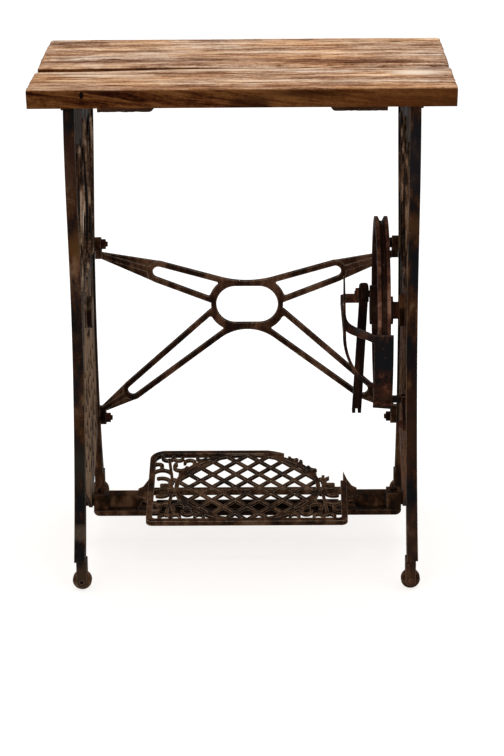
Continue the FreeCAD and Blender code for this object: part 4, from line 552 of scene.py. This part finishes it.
def quads(count, rounds, closed):
    """Faces between rounds of count points, the last round joined to the first if closed."""
    faces = []
    for i in range(rounds if closed else rounds - 1):
        shift = ((i + 1) % rounds - i) * count
        for k in range(count):
            a, b = i * count + k, i * count + (k + 1) % count
            faces.append((a, b, b + shift, a + shift))
    return faces


def put(name, data):
    """New object in the scene."""
    made = bpy.data.objects.new(name, data)
    bpy.context.scene.collection.objects.link(made)
    return made


def add_piece(name, points, faces, material, slot, *nodes):
    """New piece on the stand, smooth but for caps, which aren't four-sided."""
    mesh = bpy.data.meshes.new(name)
    mesh.from_pydata(points, [], faces)
    mesh.validate()
    mesh.polygons.foreach_set("use_smooth", [len(face.vertices) == 4 for face in mesh.polygons])
    mesh.materials.append(material)
    piece = put(name, mesh)
    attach(piece, "stand")
    if nodes:
        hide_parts(*nodes)


def loft(name, rings, material, slot, node):
    """Closed skin through rings of equally many points, capped at both ends."""
    count = len(rings[0])
    points = [point for ring in rings for point in ring]
    first, last = range(count), range(len(points) - count, len(points))
    faces = quads(count, len(rings), False) + [tuple(reversed(first)), tuple(last)]
    add_piece(name, points, faces, material, slot, node)


BOARD_STATIONS = 150
BOARD_SIDE_ROWS = 7
BOARD_ROW = 2.4 * MM
END_CROWDING = 0.4
CORNER, CORNER_CHANGE = 1.6 * MM, 0.9 * MM
EDGE_WEAR = 0.8 * MM
DENT_DEPTH = 0.35 * MM
GROOVE_DEPTH, FIBRE_DEPTH = 0.45 * MM, 0.3 * MM
END_DROP, END_DROP_REACH = 1.4 * MM, 2.2 * MM
BACK_INSET = 0.2 * MM
FRAY, FRAY_REACH = 1.2 * MM, 6 * MM


def board_rings(node, top_wear, seed):
    """Cross-sections of a worn board, from its right end to its left end."""
    low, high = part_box(node)
    rows = int((high.y - low.y) / BOARD_ROW)
    rings = []
    for i in range(BOARD_STATIONS + 1):
        share = i / BOARD_STATIONS
        ease = 0.5 - 0.5 * math.cos(math.pi * share)
        x = low.x + (high.x - low.x) * ((1 - END_CROWDING) * share + END_CROWDING * ease)
        inset = min(x - low.x, high.x - x)
        corner = CORNER + CORNER_CHANGE * rough(x * 22, seed, 0.3)
        front = low.y + (0.5 + 0.5 * rough(x * 16, seed + 4, 0.1)) * EDGE_WEAR
        back = high.y - (0.5 + 0.5 * rough(x * 16, seed + 9, 0.6)) * EDGE_WEAR
        side_height = high.z - corner - low.z
        ring = []
        for k in range(BOARD_SIDE_ROWS):
            z = low.z + side_height * k / BOARD_SIDE_ROWS
            ring.append((x, front + DENT_DEPTH * abs(rough(x * 30, seed, z * 420)), z))
        for k in range(rows + 1):
            y = front + (back - front) * k / rows
            z = high.z - top_wear(x, y)
            z -= GROOVE_DEPTH * abs(rough(x * 7, y * 300, seed))
            z -= FIBRE_DEPTH * abs(rough(x * 30, y * 900, seed))
            edge = max(min(y - front, back - y), 0.0)
            if edge < corner:
                z -= corner - math.sqrt(corner ** 2 - (corner - edge) ** 2)
            z -= END_DROP * math.exp(-inset / END_DROP_REACH)
            ring.append((x, y, z))
        for k in range(BOARD_SIDE_ROWS):
            z = high.z - corner - side_height * (k + 1) / BOARD_SIDE_ROWS
            ring.append((x, back - BACK_INSET, z))
        fray = FRAY * math.exp(-inset / FRAY_REACH) * (1 if x < 0 else -1)
        rings.append([(px + fray * (1 + rough(py * 130, pz * 60, seed)), py, pz)
                      for px, py, pz in ring])
    return rings[::-1]


# Wear of the tops. A span is the stretch of x over which a form comes or goes.
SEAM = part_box("front_board")[1].y
HOLLOW_DEPTH, HOLLOW_REACH, HOLLOW_SPAN = 4.5 * MM, 16 * MM, (-0.27, -0.05)
GULLY_Y, GULLY_SWAY = -0.176, 0.002
GULLY_DEPTH, GULLY_WIDTH, GULLY_SPAN = 1.1 * MM, 1.6 * MM, (-0.05, 0.02)
CRACK_Y, CRACK_SWAY, CRACK_WIDTH = 0.028, 0.0025, 1.3 * MM
CRACK_LEFT_DEPTH, CRACK_LEFT_SPAN = 2.2 * MM, (-0.27, -0.02)
CRACK_RIGHT_DEPTH, CRACK_RIGHT_SPAN = 3.0 * MM, (0.2, 0.3)
LIP_DROP, LIP_WIDTH, LIP_SPAN = 1.6 * MM, 2 * MM, (-0.28, -0.03)
FLUSH_DROP, FLUSH_REACH, FLUSH_SPAN = 2.8 * MM, 16 * MM, (-0.12, 0.02)


def front_wear(x, y):
    """Depth of the hollow at the left of the seam and of the gully along the front."""
    hollow = HOLLOW_DEPTH * (1 - step(x, *HOLLOW_SPAN)) * math.exp(-(SEAM - y) / HOLLOW_REACH)
    off = y - GULLY_Y + GULLY_SWAY * rough(x * 9, 0, 2)
    gully = GULLY_DEPTH * math.exp(-(off / GULLY_WIDTH) ** 2)
    return hollow + gully * (1 - step(x, *GULLY_SPAN))


def back_wear(x, y):
    """Depth of the open crack, of the lip before it and of the edge worn flush at the seam."""
    line = CRACK_Y + CRACK_SWAY * rough(x * 6, 1.5, 0)
    left = CRACK_LEFT_DEPTH * (1 - step(x, *CRACK_LEFT_SPAN))
    right = CRACK_RIGHT_DEPTH * step(x, *CRACK_RIGHT_SPAN)
    crack = (left + right) * math.exp(-((y - line) / CRACK_WIDTH) ** 2)
    lip = LIP_DROP * (1 - step(y, line - LIP_WIDTH, line)) * (1 - step(x, *LIP_SPAN))
    flush = FLUSH_DROP * step(x, *FLUSH_SPAN) * (1 - step(y, SEAM, SEAM + FLUSH_REACH))
    return crack + lip + flush


loft("front_board_worn", board_rings("front_board", front_wear, seed=3.1),
     front_board_material(), "top_boards", "front_board")
loft("back_board_worn", board_rings("back_board", back_wear, seed=7.7),
     back_board_material(), "top_boards", "back_board")


# Wear of the battens. The broken span is in shares of the way across, from the outer side.
BATTEN_STATIONS = 90
BATTEN_ROWS = 26
BROKEN_DEPTH, BROKEN_SPAN = 8 * MM, (0.9, 1.0)
TEAR_DEPTH, SPLINTER_DEPTH = 0.9 * MM, 0.5 * MM
BATTEN_LEAST = 1 * MM


def batten_rings(node, seed):
    """Cross-sections of a rough-sawn batten, front to back, its inner lower edge broken away."""
    low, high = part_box(node)
    on_right = low.x + high.x > 0
    rings = []
    for i in range(BATTEN_STATIONS + 1):
        y = low.y + (high.y - low.y) * i / BATTEN_STATIONS
        ring = [(low.x, y, high.z), (high.x, y, high.z)]
        for k in range(BATTEN_ROWS + 1):
            share = k / BATTEN_ROWS
            x = high.x - (high.x - low.x) * share
            broken = BROKEN_DEPTH * step(share if on_right else 1 - share, *BROKEN_SPAN)
            torn = TEAR_DEPTH * abs(rough(x * 110, y * 60, seed))
            torn += SPLINTER_DEPTH * abs(rough(x * 380, y * 40, seed))
            ring.append((x, y, min(low.z + broken + torn, high.z - BATTEN_LEAST)))
        rings.append(ring)
    return rings


for side, seed in (("left", 1.3), ("right", 5.9)):
    loft(side + "_batten_sawn", batten_rings(side + "_batten", seed),
         MATERIALS["batten_wood"], "batten_wood", side + "_batten")


# Ribs round the frames' upper windows. A window is two circles of y, z and radius.
WEB_X = 0.241
WEB_HALF_THICKNESS = 2.5 * MM
RIB_HALF_WIDTH = 3.2 * MM
RIB_RISE = 3.4 * MM
RIB_FOOT = 0.6 * MM
RIB_WEAR = 0.16
RIB_FACETS = 8
ARC_STEPS = 60
WINDOWS = {
    "spear": ((0.0, 0.506, 0.076), (0.0, 0.648, 0.008)),
    "front_lancet": ((-0.117, 0.598, 0.042), (-0.114, 0.442, 0.009)),
    "back_lancet": ((0.117, 0.598, 0.042), (0.114, 0.442, 0.009)),
}


def drop_path(body, tip, grow):
    """Centre, radius and angle of each point round a window, grown outward."""
    (y0, z0, r0), (y1, z1, r1) = body, tip
    along = math.atan2(z1 - z0, y1 - y0)
    turn = math.acos((r0 - r1) / math.hypot(y1 - y0, z1 - z0))
    arcs = ((y1, z1, r1 + grow, along - turn, along + turn),
            (y0, z0, r0 + grow, along + turn, along - turn + 2 * math.pi))
    return [(y, z, radius, start + (end - start) * k / ARC_STEPS)
            for y, z, radius, start, end in arcs for k in range(ARC_STEPS + 1)]


def window_rib(name, body, tip, face_x, outward, material):
    """Half-round rib cast round a window on one face of a frame's web."""
    turns = [math.pi * k / RIB_FACETS for k in range(RIB_FACETS + 1)]
    foot = -RIB_FOOT / RIB_RISE
    section = [(1.0, foot), *((math.cos(turn), math.sin(turn)) for turn in turns), (-1.0, foot)]
    path = drop_path(body, tip, RIB_HALF_WIDTH)
    points = []
    for y, z, radius, angle in path:
        uneven = rough(radius * math.cos(angle) * 90, z * 40 + angle * 3, face_x * 9)
        worn = 1 - RIB_WEAR * abs(uneven)
        for across, rise in section:
            r = radius + across * RIB_HALF_WIDTH
            lift = rise * RIB_RISE * (worn if rise > 0 else 1)
            points.append((
                face_x + outward * lift, y + r * math.cos(angle), z + r * math.sin(angle)))
    faces = quads(len(section), len(path), True)
    if outward > 0:
        faces = [face[::-1] for face in faces]
    add_piece(name, points, faces, material, "frame_iron")


for side, sign in (("left", -1), ("right", 1)):
    for window, (body, tip) in WINDOWS.items():
        for face, outward in (("inner", -sign), ("outer", sign)):
            face_x = sign * WEB_X + outward * WEB_HALF_THICKNESS
            window_rib(f"{side}_{window}_{face}_rib", body, tip, face_x, outward, RIB_IRON[side])


# Stage, in metres. The stops of the floor's glow are shares of its span from the origin. A lamp
# has a name, a place, an aim, a size and watts.
FLOOR_REACH = 9.0
FLOOR_SPECKLE = (40, 40, 40)
FLOOR_TONES = [(0.3, 0.80), (0.7, 0.84)]
FLOOR_SHADE_TONES = [(0.3, 0.29), (0.7, 0.31)]
FLOOR_GLOW = [(0.16, (0.83, 0.81, 0.785)), (0.36, (0.96, 0.96, 0.96))]
FLOOR_GLOW_SPAN = 2.0
AMBIENT = 0.36
LAMPS = (
    ("overhead", (0.1, 0.1, 2.9), (0, 0, 0.5), (2.4, 2.0), 62),
    ("front_fill", (-1.2, -3.0, 1.5), (0, 0, 0.4), (1.6, 1.6), 22),
)
# Camera: angles in degrees, place and lens in millimetres, as fitted to the photograph.
CAMERA_PITCH, CAMERA_YAW, CAMERA_ROLL = 16.6148, 0.6901, 0.4956
CAMERA_PLACE = (54.506, -3815.816, 1399.498)
SENSOR_HEIGHT, FOCAL_LENGTH = 36.0, 124.954
VIEW_DEPTH = 50.0


def add_floor():
    """Pale floor that lights the part as a matt one, and glows for the camera round its shadow."""
    g = Surface("studio_floor")
    speckle = g.noise(FLOOR_SPECKLE)
    matt = g.node("BsdfDiffuse", {"Color": g.ramp(speckle, FLOOR_TONES)}).outputs[0]
    shaded = g.node("BsdfDiffuse", {"Color": g.ramp(speckle, FLOOR_SHADE_TONES)}).outputs[0]
    away = g.calc("DIVIDE", g.vector("LENGTH", g.place), FLOOR_GLOW_SPAN)
    glow = g.node("Emission", {"Color": g.ramp(away, FLOOR_GLOW), "Strength": 1.0}).outputs[0]
    g.split_surface(
        matt, g.node("AddShader", {0: shaded, 1: glow}).outputs[0], "Material Output")
    corners = ((-1, -1), (1, -1), (1, 1), (-1, 1))
    mesh = bpy.data.meshes.new("floor")
    mesh.from_pydata([(x * FLOOR_REACH, y * FLOOR_REACH, 0) for x, y in corners], [],
                     [(0, 1, 2, 3)])
    mesh.materials.append(g.material)
    floor = put("floor", mesh)


def add_world():
    """Even light all round, white where the camera sees it."""
    world = bpy.data.worlds.new("studio")
    g = Graph(world)
    ambient = g.nodes["Background"]
    g.feed(ambient.inputs["Color"], WHITE)
    g.feed(ambient.inputs["Strength"], AMBIENT)
    white = g.node("Background", {"Color": WHITE, "Strength": 1.0})
    g.split_surface(ambient.outputs[0], white.outputs[0], "World Output")
    bpy.context.scene.world = world


def add_lamp(name, place, aim, size, power):
    lamp = bpy.data.lights.new(name, "AREA")
    lamp.shape = "RECTANGLE"
    lamp.size, lamp.size_y = size
    lamp.energy = power
    holder = put(name, lamp)
    holder.location = place
    holder.rotation_euler = (Vector(aim) - Vector(place)).to_track_quat("-Z", "Y").to_euler()


def add_camera():
    pitch, yaw, roll = (math.radians(a) for a in (CAMERA_PITCH, CAMERA_YAW, CAMERA_ROLL))
    forward = Vector((
        -math.sin(yaw) * math.cos(pitch), math.cos(yaw) * math.cos(pitch), -math.sin(pitch)))
    level = Vector((math.cos(yaw), math.sin(yaw), 0))
    upright = level.cross(forward)
    right = level * math.cos(roll) - upright * math.sin(roll)
    up = upright * math.cos(roll) + level * math.sin(roll)
    lens = bpy.data.cameras.new("camera")
    lens.sensor_fit = "VERTICAL"
    lens.sensor_height = SENSOR_HEIGHT
    lens.lens = FOCAL_LENGTH
    lens.clip_end = VIEW_DEPTH
    place = Matrix((right, up, -forward)).transposed().to_4x4()
    place.translation = Vector(CAMERA_PLACE) * MM
    camera = put("camera", lens)
    camera.matrix_world = place
    bpy.context.scene.camera = camera


add_floor()
add_world()
for lamp in LAMPS:
    add_lamp(*lamp)
add_camera()
bpy.context.scene.view_settings.view_transform = "Standard"
